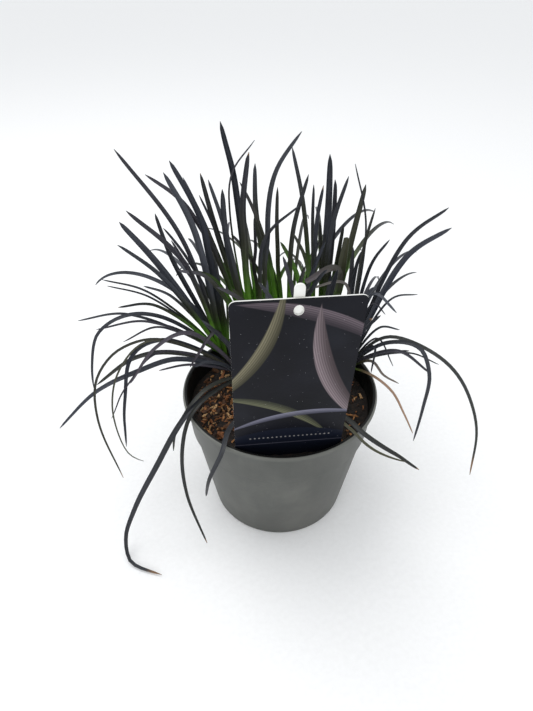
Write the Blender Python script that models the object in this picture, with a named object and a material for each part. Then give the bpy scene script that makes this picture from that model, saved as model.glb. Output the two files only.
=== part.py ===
"""Black mondo grass in a round nursery pot, with a label card and a white stake. Metres, +Z up.

The origin is the centre of the pot's base. The card's face looks towards -Y, the front.
"""

import math
import random

import bmesh
import bpy
import numpy as np
from mathutils import Matrix, Vector, kdtree
from mathutils.bvhtree import BVHTree

MM = 0.001
GAP = 0.3 * MM

# Pot: outside radii and heights, wall and base
POT_HEIGHT = 98.5 * MM
POT_RIM_RADIUS = 65.0 * MM
POT_COLLAR_TOP_RADIUS = 63.2 * MM
POT_COLLAR_RADIUS = 61.1 * MM
POT_WAIST_RADIUS = 59.6 * MM
POT_COLLAR_Z = 72.6 * MM
POT_BASE_RADIUS = 48.4 * MM
POT_FOOT_CHAMFER = 1.2 * MM
POT_WALL = 1.4 * MM
POT_FLOOR = 1.6 * MM
POT_LIP_HEIGHT = 3.0 * MM
POT_SIDES = 48
DRAIN_HOLES = 6
DRAIN_RADIUS = 4.0 * MM
DRAIN_CIRCLE = 36.0 * MM

# Soil: its surface, and the bark in it
SOIL_Z = 84.5 * MM
SOIL_CROWN = 2.0 * MM
SOIL_SIDES = 32
BARK_CHIPS = 24
BARK_SEED = 7

# Crowns and the holes they stand in
CROWN_RADIUS = 6.5 * MM
CROWN_DEPTH = 11.0 * MM
CROWN_RISE = 7.0 * MM
CROWN_SIDES = 10

# Leaves
LEAF_KEEL = 1.1 * MM
LEAF_TIP_WIDTH = 0.9 * MM
LEAF_TIP_KEEL = 0.7 * MM
LEAF_TIP_SHARE = 0.5
LEAF_ROOT_CIRCLE = 4.4 * MM
LEAF_ROOT_DEPTH = 4.0 * MM
LEAF_NECK_RISE = 12.0 * MM
LEAF_SAMPLES = 36
CURVE_STEPS = 16
LEAF_SEGMENT = 19.0 * MM
LEAF_SEED = 11
FILLED_START = (80, 88)
FILLED_SWAY = 0.16
FILLED_WIDTH = (2.2, 3.8)
FILLED_FIRMNESS = 0.25
CLEARANCE = 1.5 * MM
OWN_CLEARANCE = 0.2 * MM
PUSH_ROUNDS = 14
PUSHES_A_ROUND = 8
PUSH_REACH = 8.5 * MM
PUSH_LIMIT = 1.5 * MM
CROSSING = 1.0 * MM

# Label card: its plane leans to the front and turns a little to the right
CARD_WIDTH = 64.3 * MM
CARD_HEIGHT = 131.0 * MM
CARD_THICKNESS = 0.7 * MM
CARD_CORNER = 3.5 * MM
CARD_TOP = Vector((6.0, -67.0, 209.3)) * MM
CARD_LEAN = math.radians(8.3)
CARD_TURN = math.radians(5.9)
CARD_TAIL_WIDTH = 22.0 * MM
CARD_TAIL_LENGTH = 48.0 * MM
CARD_HOLE_RADIUS = 2.5 * MM
CARD_HOLE_STRETCH = 1.3 * MM
CARD_HOLE_DROP = 7.2 * MM

# White stake behind the card
STAKE_WIDTH = 5.2 * MM
STAKE_THICKNESS = 1.2 * MM
STAKE_RISE = 7.2 * MM
STAKE_LENGTH = 178.0 * MM

# Tufts: crown place, leaves read from the photo, and leaves filled in by rule. A leaf is its
# width and the points it passes through up to its tip, all in mm. A filled group is
# (count, heading, spread, shortest, longest, least bend, most bend), in mm and degrees.
TUFTS = {
    "tuft_left_back": dict(
        crown=(-36, 34),
        leaves=[
            (3.0, (-63, 44, 184), (-99, 52, 238)),
            (4.4, (-51, 52, 192), (-69, 62, 228)),
            (4.3, (-54, 40, 191), (-70, 44, 227)),
            (3.4, (-62, 30, 176), (-91, 26, 211)),
            (4.6, (-79, 40, 167), (-102, 46, 195)),
            (3.3, (-75, 28, 164), (-99, 24, 190)),
            (3.4, (-73, 56, 163), (-83, 66, 192)),
            (2.2, (-55, 24, 167), (-65, 18, 196)),
            (1.6, (-90, 46, 143), (-122, 50, 151)),
            (1.5, (-87, 40, 142), (-116, 40, 152)),
            (2.2, (-76, 52, 136), (-97, 60, 140)),
            (2.2, (-85, 36, 139), (-109, 32, 140)),
            (2.0, (-104, 34, 133), (-134, 22, 136)),
            (3.4, (-79, 34, 130), (-103, 30, 135), (-122, 20, 127), (-126, 6, 109), (-124, -4, 100)),
            (1.6, (-83, 32, 124), (-105, 16, 123)),
            (1.8, (-90, 34, 127), (-125, 26, 126)),
            (3.3, (-43, 10, 135), (-57, -8, 121)),
        ],
        filled=[(3, 115, 50, 90, 125, 15, 60), (4, 125, 40, 110, 150, 90, 140)],
    ),
    "tuft_back_left": dict(
        crown=(-14, 43),
        leaves=[
            (4.3, (-28, 52, 213), (-36, 58, 252)),
            (3.4, (-59, 56, 199), (-86, 66, 218)),
            (3.8, (-43, 58, 187), (-51, 66, 219)),
            (3.0, (-36, 44, 194), (-44, 46, 222)),
            (4.4, (-34, 36, 189), (-35, 36, 220)),
            (4.4, (-23, 40, 202), (-19, 40, 240)),
            (1.3, (-31, 52, 220), (-16, 56, 242)),
            (2.1, (-50, 66, 184), (-64, 78, 212)),
            (2.1, (-43, 54, 187), (-52, 60, 207)),
            (3.0, (-48, 30, 165), (-65, 30, 170)),
            (2.2, (-43, 34, 161), (-55, 34, 167)),
            (3.3, (-9, 38, 186), (-4, 32, 230), (10, 30, 254)),
            (2.8, (-10, 36, 187), (10, 26, 214)),
        ],
        filled=[(3, 95, 60, 80, 120, 10, 50), (5, 105, 35, 120, 165, 100, 150)],
    ),
    "tuft_back": dict(
        crown=(8, 46),
        leaves=[
            (3.8, (-15, 54, 193), (-16, 60, 227)),
            (2.8, (-12, 40, 191), (-25, 44, 221)),
            (3.1, (7, 32, 194), (15, 32, 230)),
            (3.0, (-2, 54, 184), (-2, 60, 212)),
        ],
        filled=[(5, 90, 90, 75, 110, 10, 50), (6, 90, 40, 120, 170, 100, 150)],
    ),
    "tuft_back_right": dict(
        crown=(30, 40),
        leaves=[
            (3.0, (14, 48, 205), (6, 50, 240)),
            (2.6, (21, 56, 190), (21, 62, 213)),
            (3.0, (22, 40, 196), (25, 42, 220)),
            (4.8, (29, 44, 200), (28, 46, 237)),
            (3.8, (34, 54, 189), (34, 60, 217)),
            (3.0, (31, 34, 195), (38, 32, 229)),
            (4.1, (45, 42, 184), (51, 46, 219)),
            (4.8, (39, 30, 175), (40, 28, 193)),
            (4.8, (34, 24, 174), (15, 14, 170)),
            (3.0, (16, 30, 175), (7, 28, 196)),
        ],
        filled=[(3, 85, 60, 75, 110, 10, 50), (5, 75, 35, 120, 165, 100, 150)],
    ),
    "tuft_right": dict(
        crown=(45, 23),
        leaves=[
            (1.3, (53, 40, 194), (43, 44, 232)),
            (2.2, (52, 34, 182), (56, 34, 209)),
            (2.8, (78, 36, 187), (102, 40, 207)),
            (3.9, (77, 26, 180), (99, 20, 203)),
            (2.4, (60, 44, 165), (72, 52, 180)),
            (3.0, (50, 42, 163), (53, 44, 176)),
            (2.6, (58, 14, 162), (70, 0, 157)),
            (1.5, (73, 26, 151), (89, 26, 154)),
            (1.5, (59, 16, 154), (66, 10, 149)),
            (2.4, (39, 14, 169), (15, 8, 168)),
            (3.0, (71, 20, 124), (95, 6, 125), (114, -10, 115), (124, -32, 93), (122, -48, 64)),
            (3.4, (71, 16, 122), (90, 4, 127), (96, -8, 114), (93, -18, 95), (89, -26, 72)),
            (2.8, (77, 6, 123), (97, -6, 114)),
            (2.1, (61, 2, 106), (74, -8, 100), (82, -16, 88), (89, -22, 75)),
            (2.3, (63, 14, 108), (70, 4, 104), (80, 0, 100)),
            (2.1, (73, 18, 112), (88, 16, 115)),
            (1.8, (69, 30, 125), (83, 30, 123)),
            (1.6, (67, 24, 120), (77, 10, 107)),
            (1.3, (87, 16, 114), (107, 8, 110)),
            (2.3, (62, 8, 125), (60, -1, 110)),
        ],
        filled=[(3, 72, 45, 75, 110, 10, 60), (4, 58, 30, 100, 140, 100, 150)],
    ),
    "tuft_left": dict(
        crown=(-22, 13),
        leaves=[
            (2.1, (-79, 12, 128), (-104, 0, 128), (-116, -16, 117), (-114, -34, 98), (-100, -52, 66)),
            (4.3, (-68, 14, 110), (-96, 2, 108), (-120, -12, 103), (-143, -28, 86)),
            (3.9, (-71, 18, 112), (-97, 10, 114), (-122, -4, 102)),
            (3.4, (-60, 18, 129), (-82, 8, 124), (-98, -8, 107)),
            (3.3, (-77, 18, 123), (-97, 8, 119), (-102, -14, 98), (-101, -32, 73)),
            (1.8, (-60, 10, 108), (-81, 4, 108)),
            (1.6, (-86, 12, 127), (-105, -2, 114), (-109, -20, 95), (-99, -36, 70), (-89, -40, 68)),
            (1.8, (-80, 10, 119), (-100, -8, 105), (-111, -20, 87)),
            (4.3, (-53, -25, 104), (-63, -38, 98), (-78, -46, 72), (-97, -53, 35),
             (-106, -60, 9), (-101, -72, 2), (-79, -81, 1.4)),
            (3.1, (-49, -16, 108), (-66, -38, 92), (-68, -42, 80)),
            (3.0, (-55, -31, 104), (-62, -42, 82), (-61, -52, 50), (-49, -66, 15)),
        ],
        filled=[(4, 235, 70, 60, 100, 20, 90)],
    ),
    "tuft_middle": dict(
        crown=(2, 19),
        leaves=[],
        filled=[(11, 90, 170, 80, 125, 10, 60)],
    ),
    "tuft_middle_right": dict(
        crown=(24, 11),
        leaves=[],
        filled=[(10, 30, 160, 75, 120, 10, 60)],
    ),
    "tuft_front_left": dict(
        crown=(-10, -13),
        leaves=[
            (3.6, (-31, -43, 102), (-35, -63, 101), (-42, -70, 88), (-46, -67, 67)),
        ],
        filled=[(8, 150, 120, 70, 110, 10, 50)],
    ),
    "tuft_front_right": dict(
        crown=(21, -13),
        leaves=[
            (3.6, (40, -37, 104), (50, -50, 103), (66, -57, 95), (84, -58, 81)),
            (2.2, (41, -44, 103), (50, -57, 102), (60, -58, 95), (74, -59, 90)),
        ],
        filled=[(8, 40, 130, 70, 110, 10, 50)],
    ),
}

# Colours, linear
POT_GREY = (0.130, 0.132, 0.118, 1.0)
SOIL_BROWN = (0.020, 0.013, 0.008, 1.0)
LEAF_BLACK = (0.020, 0.022, 0.028, 1.0)
CARD_CHARCOAL = (0.028, 0.030, 0.040, 1.0)
STAKE_WHITE = (0.800, 0.800, 0.780, 1.0)


def clear_scene():
    """Remove whatever the file holds."""
    for thing in list(bpy.data.objects):
        bpy.data.objects.remove(thing, do_unlink=True)


def surface(name, colour, roughness):
    """A plain Principled material."""
    material = bpy.data.materials.new(name)
    material.use_nodes = True
    shader = material.node_tree.nodes["Principled BSDF"]
    shader.inputs["Base Color"].default_value = colour
    shader.inputs["Roughness"].default_value = roughness
    shader.inputs["Metallic"].default_value = 0.0
    return material


def object_from(name, shape, material):
    """Make an object of a bmesh, with its faces outwards."""
    bmesh.ops.recalc_face_normals(shape, faces=shape.faces)
    mesh = bpy.data.meshes.new(name)
    shape.to_mesh(mesh)
    shape.free()
    thing = bpy.data.objects.new(name, mesh)
    bpy.context.scene.collection.objects.link(thing)
    mesh.materials.append(material)
    return thing


def turned(profile, sides):
    """A body turned about Z from (radius, height) points; a radius of zero closes an end."""
    shape = bmesh.new()
    rings = []
    for radius, height in profile:
        if radius == 0.0:
            rings.append([shape.verts.new((0.0, 0.0, height))])
            continue
        angles = [2.0 * math.pi * i / sides for i in range(sides)]
        rings.append([shape.verts.new((radius * math.cos(a), radius * math.sin(a), height)) for a in angles])
    for lower, upper in zip(rings, rings[1:]):
        for i in range(sides):
            j = (i + 1) % sides
            corners = [lower[i % len(lower)], lower[j % len(lower)], upper[j % len(upper)], upper[i % len(upper)]]
            unique = list(dict.fromkeys(corners))
            shape.faces.new(unique)
    return shape


def cut_or_join(target, others, operation, solver="EXACT"):
    """One Boolean of the target with every other object, applied, with the others removed."""
    group = bpy.data.collections.new("operands")
    bpy.context.scene.collection.children.link(group)
    for other in others:
        bpy.context.scene.collection.objects.unlink(other)
        group.objects.link(other)
    boolean = target.modifiers.new("boolean", "BOOLEAN")
    boolean.operation = operation
    boolean.operand_type = "COLLECTION"
    boolean.collection = group
    boolean.solver = solver
    with bpy.context.temp_override(object=target, active_object=target):
        bpy.ops.object.modifier_apply(modifier=boolean.name)
    for other in others:
        bpy.data.objects.remove(other, do_unlink=True)
    bpy.data.collections.remove(group)


def keep_body(thing):
    """Drop loose scraps and sealed hollows that joining leaves, keeping the one large body."""
    shape = bmesh.new()
    shape.from_mesh(thing.data)
    left = set(shape.faces)
    bodies = []
    while left:
        body = set()
        front = [next(iter(left))]
        while front:
            face = front.pop()
            if face not in body:
                body.add(face)
                front += [other for edge in face.edges for other in edge.link_faces]
        left -= body
        bodies.append(body)
    bodies.sort(key=len)
    scraps = [face for body in bodies[:-1] for face in body]
    bmesh.ops.delete(shape, geom=scraps, context="FACES")
    shape.to_mesh(thing.data)
    shape.free()


def shade(thing, angle):
    """Smooth shading with creases past an angle in degrees."""
    thing.data.shade_smooth()
    thing.data.set_sharp_from_angle(angle=math.radians(angle))


def inner_radius(z):
    """The pot's inside radius at a height."""
    if z >= POT_COLLAR_Z:
        rise = (z - POT_COLLAR_Z) / (POT_HEIGHT - POT_LIP_HEIGHT - POT_COLLAR_Z)
        return POT_COLLAR_RADIUS + (POT_COLLAR_TOP_RADIUS - POT_COLLAR_RADIUS) * rise - POT_WALL
    return POT_BASE_RADIUS + (POT_WAIST_RADIUS - POT_BASE_RADIUS) * z / POT_COLLAR_Z - POT_WALL


def make_pot():
    """Tapered pot with a stepped collar, a rolled lip and drainage holes."""
    lip_z = POT_HEIGHT - POT_LIP_HEIGHT
    step_z = POT_COLLAR_Z + 1.0 * MM
    profile = [
        (0.0, 0.0),
        (POT_BASE_RADIUS - POT_FOOT_CHAMFER, 0.0),
        (POT_BASE_RADIUS, POT_FOOT_CHAMFER),
        (POT_WAIST_RADIUS, POT_COLLAR_Z - 1.0 * MM),
        (POT_COLLAR_RADIUS, POT_COLLAR_Z),
        (POT_COLLAR_TOP_RADIUS, lip_z),
        (POT_RIM_RADIUS, lip_z + 0.8 * MM),
        (POT_RIM_RADIUS, POT_HEIGHT - 0.8 * MM),
        (POT_RIM_RADIUS - 0.8 * MM, POT_HEIGHT),
        (POT_COLLAR_TOP_RADIUS - POT_WALL + 0.7 * MM, POT_HEIGHT),
        (inner_radius(lip_z), POT_HEIGHT - 0.9 * MM),
        (inner_radius(lip_z), lip_z),
        (inner_radius(step_z), step_z),
        (inner_radius(POT_COLLAR_Z - 1.0 * MM), POT_COLLAR_Z - 1.0 * MM),
        (inner_radius(POT_FLOOR), POT_FLOOR),
        (0.0, POT_FLOOR),
    ]
    pot = object_from("pot", turned(profile, POT_SIDES), surface("pot_plastic", POT_GREY, 0.55))
    drills = []
    for i in range(DRAIN_HOLES):
        angle = 2.0 * math.pi * (i + 0.5) / DRAIN_HOLES
        foot = Vector((DRAIN_CIRCLE * math.cos(angle), DRAIN_CIRCLE * math.sin(angle), -2 * MM))
        drills.append(rod("drill", foot, 6 * MM, DRAIN_RADIUS, DRAIN_RADIUS, 12, pot.data.materials[0]))
    cut_or_join(pot, drills, "DIFFERENCE")
    shade(pot, 35)
    return pot


def rod(name, foot, height, radius, top_radius, sides, material):
    """An upright cylinder, or a cone, from its foot."""
    shape = turned([(0.0, 0.0), (radius, 0.0), (top_radius, height), (0.0, height)], sides)
    bmesh.ops.translate(shape, verts=shape.verts, vec=foot)
    return object_from(name, shape, material)


def soil_height(x, y):
    """Height of the soil's uneven top, with a slight crown in the middle."""
    radius = math.hypot(x, y)
    mound = SOIL_CROWN * (1.0 - (radius / POT_RIM_RADIUS) ** 2)
    waves = 0.7 * MM * math.sin(x / (9.0 * MM) + 1.3) * math.cos(y / (11.0 * MM))
    ripples = 0.4 * MM * math.sin(x / (4.0 * MM) - y / (5.0 * MM))
    return SOIL_Z + mound + waves + ripples


def make_soil(crowns):
    """The compost with bark in its top, plain holes for the crowns and slots for the label."""
    wall = inner_radius(SOIL_Z) - GAP
    step_z = POT_COLLAR_Z + 1.0 * MM
    waist_z = POT_COLLAR_Z - 1.0 * MM
    bottom_z = POT_FLOOR + GAP
    profile = [
        (0.0, bottom_z),
        (inner_radius(bottom_z) - GAP, bottom_z),
        (inner_radius(waist_z) - GAP, waist_z + GAP),
        (inner_radius(step_z) - GAP, step_z + GAP),
        (wall, SOIL_Z - 1.0 * MM),
        (wall - 2.0 * MM, SOIL_Z),
        (wall * 0.76, SOIL_Z),
        (wall * 0.5, SOIL_Z),
        (wall * 0.25, SOIL_Z),
        (0.0, SOIL_Z),
    ]
    shape = turned(profile, SOIL_SIDES)
    for vert in shape.verts:
        if vert.co.z >= SOIL_Z - 0.1 * MM:
            vert.co.z = soil_height(vert.co.x, vert.co.y)
    soil = object_from("soil", shape, surface("compost", SOIL_BROWN, 0.95))
    cut_or_join(soil, bark_chips(crowns, soil.data.materials[0]), "UNION", "MANIFOLD")
    cutters = [hole_for(place, soil.data.materials[0]) for place in crowns] + label_slots(soil.data.materials[0])
    cut_or_join(soil, cutters, "DIFFERENCE", "MANIFOLD")
    keep_body(soil)
    return soil


def bark_chips(crowns, material):
    """Split bark lying on the soil, most of it at the front left, as tilted wedges."""
    draw = random.Random(BARK_SEED)
    chips = []
    while len(chips) < BARK_CHIPS:
        heading = draw.gauss(math.radians(200), math.radians(95))
        radius = 56.0 * MM * math.sqrt(draw.uniform(0.08, 1.0))
        x = radius * math.cos(heading)
        y = radius * math.sin(heading)
        near = min(math.hypot(x - cx, y - cy) for cx, cy in crowns)
        card_near = abs(y + 45 * MM) < 6 * MM and abs(x - 5 * MM) < 18 * MM
        if near < CROWN_RADIUS + 7.0 * MM or radius > 54.0 * MM or card_near:
            continue
        length = draw.uniform(4.0, 10.0) * MM
        width = length * draw.uniform(0.35, 0.6)
        thick = draw.uniform(1.4, 2.6) * MM
        shape = bmesh.new()
        bmesh.ops.create_cube(shape, size=1.0)
        for vert in shape.verts:
            pinch = 0.55 if vert.co.x > 0 else 0.85
            vert.co = Vector((vert.co.x * length, vert.co.y * width * pinch, vert.co.z * thick))
            vert.co += Vector([draw.uniform(-0.35, 0.35) * MM for _ in range(3)])
        turn = Matrix.Rotation(draw.uniform(0, math.tau), 4, "Z") @ Matrix.Rotation(draw.uniform(-0.3, 0.3), 4, "Y")
        place = Vector((x, y, soil_height(x, y) + 0.1 * thick))
        bmesh.ops.transform(shape, matrix=Matrix.Translation(place) @ turn, verts=shape.verts)
        bmesh.ops.triangulate(shape, faces=shape.faces)
        chips.append(object_from("chip", shape, material))
    return chips


def hole_for(place, material):
    """A cutter for the plain hole that a crown stands in."""
    foot = Vector((place[0], place[1], SOIL_Z - CROWN_DEPTH - GAP))
    radius = CROWN_RADIUS + GAP * 1.1
    return rod("crown_hole", foot, 30 * MM, radius, radius, CROWN_SIDES, material)


def card_frame():
    """Where the card hangs: X across it, Z up it, Y out of its back, origin at its top edge."""
    turn = Matrix.Rotation(CARD_TURN, 4, "Z") @ Matrix.Rotation(CARD_LEAN, 4, "X")
    return Matrix.Translation(CARD_TOP) @ turn


def flat_plate(name, outline, back, front, material):
    """An outline of (across, up) points between two depths, set in the card's frame."""
    shape = bmesh.new()
    face = shape.faces.new([shape.verts.new((x, front, z)) for x, z in outline])
    grown = bmesh.ops.extrude_face_region(shape, geom=[face])
    moved = [item for item in grown["geom"] if isinstance(item, bmesh.types.BMVert)]
    bmesh.ops.translate(shape, verts=moved, vec=(0, back - front, 0))
    bmesh.ops.transform(shape, matrix=card_frame(), verts=shape.verts)
    return object_from(name, shape, material)


def arc(centre_x, centre_z, radius, start, end, steps):
    """Points along a round corner, angles in degrees."""
    points = []
    for i in range(steps + 1):
        angle = math.radians(start + (end - start) * i / steps)
        points.append((centre_x + radius * math.cos(angle), centre_z + radius * math.sin(angle)))
    return points


def card_outline(grow):
    """The card's outline: round top corners, square shoulders and a pointed tail."""
    half = CARD_WIDTH / 2 + grow
    tail = CARD_TAIL_WIDTH / 2 + grow
    shoulder = -CARD_HEIGHT - grow
    tip = -CARD_HEIGHT - CARD_TAIL_LENGTH - grow
    right = arc(half - CARD_CORNER, -CARD_CORNER + grow, CARD_CORNER, 0, 90, 5)
    left = arc(CARD_CORNER - half, -CARD_CORNER + grow, CARD_CORNER, 90, 180, 5)
    below = [(-half, shoulder), (-tail, shoulder), (-tail, tip + 16 * MM), (-2 * MM - grow, tip)]
    return right + left + below + [(2 * MM + grow, tip), (tail, tip + 16 * MM), (tail, shoulder), (half, shoulder)]


def stake_outline(grow):
    """The stake's outline: a round top, parallel sides and a point."""
    half = STAKE_WIDTH / 2 + grow
    top = arc(0.0, STAKE_RISE - STAKE_WIDTH / 2, half, 0, 180, 8)
    tip = STAKE_RISE - STAKE_LENGTH - grow
    return top + [(-half, tip + 8 * MM), (-0.8 * MM - grow, tip), (0.8 * MM + grow, tip), (half, tip + 8 * MM)]


def make_label():
    """The printed card with its punched hole, and the white stake behind it."""
    card = flat_plate("label_card", card_outline(0.0), CARD_THICKNESS, 0.0, surface("card", CARD_CHARCOAL, 0.35))
    top = arc(0.0, CARD_HOLE_STRETCH / 2 - CARD_HOLE_DROP, CARD_HOLE_RADIUS, 0, 180, 10)
    bottom = arc(0.0, -CARD_HOLE_STRETCH / 2 - CARD_HOLE_DROP, CARD_HOLE_RADIUS, 180, 360, 10)
    ring = top + bottom
    punch = flat_plate("punch", ring, 5 * MM, -5 * MM, card.data.materials[0])
    cut_or_join(card, [punch], "DIFFERENCE")
    near = CARD_THICKNESS + GAP
    stake = flat_plate("label_stake", stake_outline(0.0), near + STAKE_THICKNESS, near,
                       surface("stake", STAKE_WHITE, 0.4))
    return card, stake


def label_slots(material):
    """Cutters for the slots that the card's tail and the stake stand in."""
    near = CARD_THICKNESS + GAP
    card_slot = flat_plate("card_slot", card_outline(GAP), CARD_THICKNESS + GAP, -GAP, material)
    stake_slot = flat_plate("stake_slot", stake_outline(GAP), near + STAKE_THICKNESS + GAP, near - 2 * GAP, material)
    return [card_slot, stake_slot]


def smooth_path(points, samples):
    """A centripetal Catmull-Rom curve through points, resampled evenly along its length."""
    points = [np.array(point, float) for point in points]
    ends = [2 * points[0] - points[1]] + points + [2 * points[-1] - points[-2]]
    curve = []
    for p0, p1, p2, p3 in zip(ends, ends[1:], ends[2:], ends[3:]):
        t1 = math.sqrt(np.linalg.norm(p1 - p0))
        t2 = t1 + math.sqrt(np.linalg.norm(p2 - p1))
        t3 = t2 + math.sqrt(np.linalg.norm(p3 - p2))
        for t in np.linspace(t1, t2, CURVE_STEPS, endpoint=False):
            a1 = p0 + (p1 - p0) * t / t1
            a2 = p1 + (p2 - p1) * (t - t1) / (t2 - t1)
            a3 = p2 + (p3 - p2) * (t - t2) / (t3 - t2)
            b1 = a1 + (a2 - a1) * t / t2
            b2 = a2 + (a3 - a2) * (t - t1) / (t3 - t1)
            curve.append(b1 + (b2 - b1) * (t - t1) / (t2 - t1))
    return evenly(np.array(curve + [points[-1]]), samples)


def evenly(curve, samples):
    """The curve's points spaced evenly along its length."""
    steps = np.linalg.norm(np.diff(curve, axis=0), axis=1)
    along = np.concatenate([[0.0], np.cumsum(steps)])
    wanted = np.linspace(0.0, along[-1], samples)
    return np.stack([np.interp(wanted, along, curve[:, axis]) for axis in range(3)], axis=1)


def listed_path(crown, points):
    """A leaf through its listed points, starting steeply from its crown."""
    first = np.array(points[0], float) * MM
    outward = first[:2] - np.array(crown)
    outward = outward / max(np.linalg.norm(outward), 1e-6)
    root = np.array([*(np.array(crown) + outward * LEAF_ROOT_CIRCLE * 0.6), SOIL_Z - LEAF_ROOT_DEPTH])
    neck = np.array([*(np.array(crown) + outward * LEAF_ROOT_CIRCLE * 1.1), SOIL_Z + LEAF_NECK_RISE])
    return smooth_path([root, neck] + [np.array(point, float) * MM for point in points], LEAF_SAMPLES)


def filled_path(crown, heading, length, bend, draw):
    """A leaf that leaves its crown steeply and bends over evenly more towards its tip."""
    start = math.radians(draw.uniform(*FILLED_START))
    out = np.array([math.cos(heading), math.sin(heading), 0.0])
    aside = np.array([-math.sin(heading), math.cos(heading), 0.0]) * draw.uniform(-FILLED_SWAY, FILLED_SWAY)
    point = np.array([crown[0], crown[1], SOIL_Z - LEAF_ROOT_DEPTH]) + out * LEAF_ROOT_CIRCLE * 0.5
    path = [point]
    for i in range(LEAF_SAMPLES - 1):
        along = (i + 0.5) / (LEAF_SAMPLES - 1)
        angle = start - math.radians(bend) * along ** 1.35
        step = out * math.cos(angle) + aside * along + np.array([0, 0, math.sin(angle)])
        point = point + step / np.linalg.norm(step) * length / (LEAF_SAMPLES - 1)
        path.append(point)
    return np.array(path)


def strap(along):
    """A leaf's width along it as a share of its widest: narrow at its foot, broad up to its tip."""
    swell = 0.42 + 0.58 * np.sin(np.minimum(along / 0.6, 1.0) * math.pi / 2) ** 1.3
    return swell * (1.0 - 0.4 * np.maximum(0.0, (along - 0.6) / 0.4) ** 2)


def all_leaves():
    """Every leaf of every tuft: tuft number, width and path."""
    draw = random.Random(LEAF_SEED)
    leaves = []
    for number, tuft in enumerate(TUFTS.values()):
        crown = tuple(value * MM for value in tuft["crown"])
        for width, *points in tuft["leaves"]:
            leaves.append((number, width * MM, 1.0, listed_path(crown, points)))
        for count, heading, spread, shortest, longest, least, most in tuft["filled"]:
            for i in range(count):
                share = 2.0 * (i + 0.5) / count - 1.0
                turn = math.radians(heading + spread * share + draw.uniform(-8, 8))
                length = draw.uniform(shortest, longest) * MM
                bend = draw.uniform(least, most)
                width = draw.uniform(*FILLED_WIDTH) * MM
                leaves.append((number, width, FILLED_FIRMNESS, filled_path(crown, turn, length, bend, draw)))
    return leaves


def close_pairs(points, reach):
    """Pairs of points of different leaves that are within reach."""
    tree = kdtree.KDTree(len(points))
    for i, point in enumerate(points):
        tree.insert(point, i)
    tree.balance()
    pairs = [(i, j) for i, point in enumerate(points) for _, j, _ in tree.find_range(point, reach) if j > i]
    first, second = np.array(pairs, int).T
    other = first // LEAF_SAMPLES != second // LEAF_SAMPLES
    return first[other], second[other]


def keep_off(points, halves):
    """How far each point has to move to stay off the card, the rim, the wall, the soil and the floor."""
    move = np.zeros_like(points)
    to_card = np.array(card_frame().inverted())
    local = points @ to_card[:3, :3].T + to_card[:3, 3]
    reach = halves + 2.0 * MM
    behind = (np.abs(local[:, 0]) < CARD_WIDTH / 2 + reach) & (local[:, 2] < reach) & (local[:, 2] > -130 * MM)
    depth = local[:, 1] - STAKE_THICKNESS
    hit = behind & (np.abs(depth) < reach)
    out = np.array(card_frame())[:3, 1]
    move[hit] += out * (reach - depth)[hit][:, None] * 0.5
    radius = np.linalg.norm(points[:, :2], axis=1)
    radial = np.zeros_like(points)
    radial[:, :2] = points[:, :2] / np.maximum(radius, 1e-6)[:, None]
    rim = np.stack([radius - (POT_RIM_RADIUS - 1 * MM), points[:, 2] - (POT_HEIGHT - 1 * MM)], axis=1)
    near = np.linalg.norm(rim, axis=1)
    room = halves + 2.2 * MM
    hit = near < room
    push = rim / np.maximum(near, 1e-6)[:, None] * np.maximum(room - near, 0)[:, None]
    move[hit] += (radial * push[:, :1])[hit]
    move[hit, 2] += np.abs(push[hit, 1]) + 0.2 * MM
    outside = (points[:, 2] < POT_HEIGHT) & (radius > POT_RIM_RADIUS - 2 * MM)
    short = POT_RIM_RADIUS + halves + 1 * MM - radius
    hit = outside & (short > 0)
    move[hit] += (radial * short[:, None])[hit] * 0.5
    inside = radius < POT_RIM_RADIUS - 2 * MM
    low = SOIL_Z + SOIL_CROWN + halves + 2.5 * MM - points[:, 2]
    hit = inside & (low > 0) & (points[:, 2] > SOIL_Z - 10 * MM)
    move[hit, 2] += low[hit] * 0.5
    floor = 1.1 * MM - points[:, 2]
    move[:, 2] += np.maximum(floor, 0)
    return move


def push_apart(leaves):
    """Bend leaves of different tufts clear of each other and of the pot, roots staying put."""
    count = len(leaves)
    points = np.array([leaf[3] for leaf in leaves]).reshape(-1, 3)
    tufts = np.repeat([leaf[0] for leaf in leaves], LEAF_SAMPLES)
    along = np.tile(np.linspace(0, 1, LEAF_SAMPLES), count)
    widths = np.repeat([leaf[1] for leaf in leaves], LEAF_SAMPLES)
    halves = widths * 0.5 * strap(along)
    weights = np.repeat([leaf[2] for leaf in leaves], LEAF_SAMPLES)
    loose = np.clip((along - 0.06) / 0.2, 0, 1)[:, None]
    for _ in range(PUSH_ROUNDS):
        first, second = close_pairs(points, PUSH_REACH)
        same = tufts[first] == tufts[second]
        kept = ~same | (np.minimum(along[first], along[second]) > 0.3)
        first, second, same = first[kept], second[kept], same[kept]
        clearance = np.where(same, OWN_CLEARANCE, CLEARANCE)
        share = (weights[second] / (weights[first] + weights[second]))[:, None]
        for _ in range(PUSHES_A_ROUND):
            apart = points[first] - points[second]
            distance = np.maximum(np.linalg.norm(apart, axis=1), 1e-6)
            short = halves[first] + halves[second] + clearance - distance
            push = apart / distance[:, None] * np.maximum(short, 0)[:, None]
            move = gather(first, push * share, len(points)) - gather(second, push * (1 - share), len(points))
            move = np.clip(move, -PUSH_LIMIT, PUSH_LIMIT)
            move = blur(move.reshape(count, LEAF_SAMPLES, 3)).reshape(-1, 3)
            points = points + move * loose
            points = points + keep_off(points, halves) * loose
    paths = points.reshape(count, LEAF_SAMPLES, 3)
    return [(leaf[0], leaf[1], leaf[2], evenly(path, LEAF_SAMPLES)) for leaf, path in zip(leaves, paths)]


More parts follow.
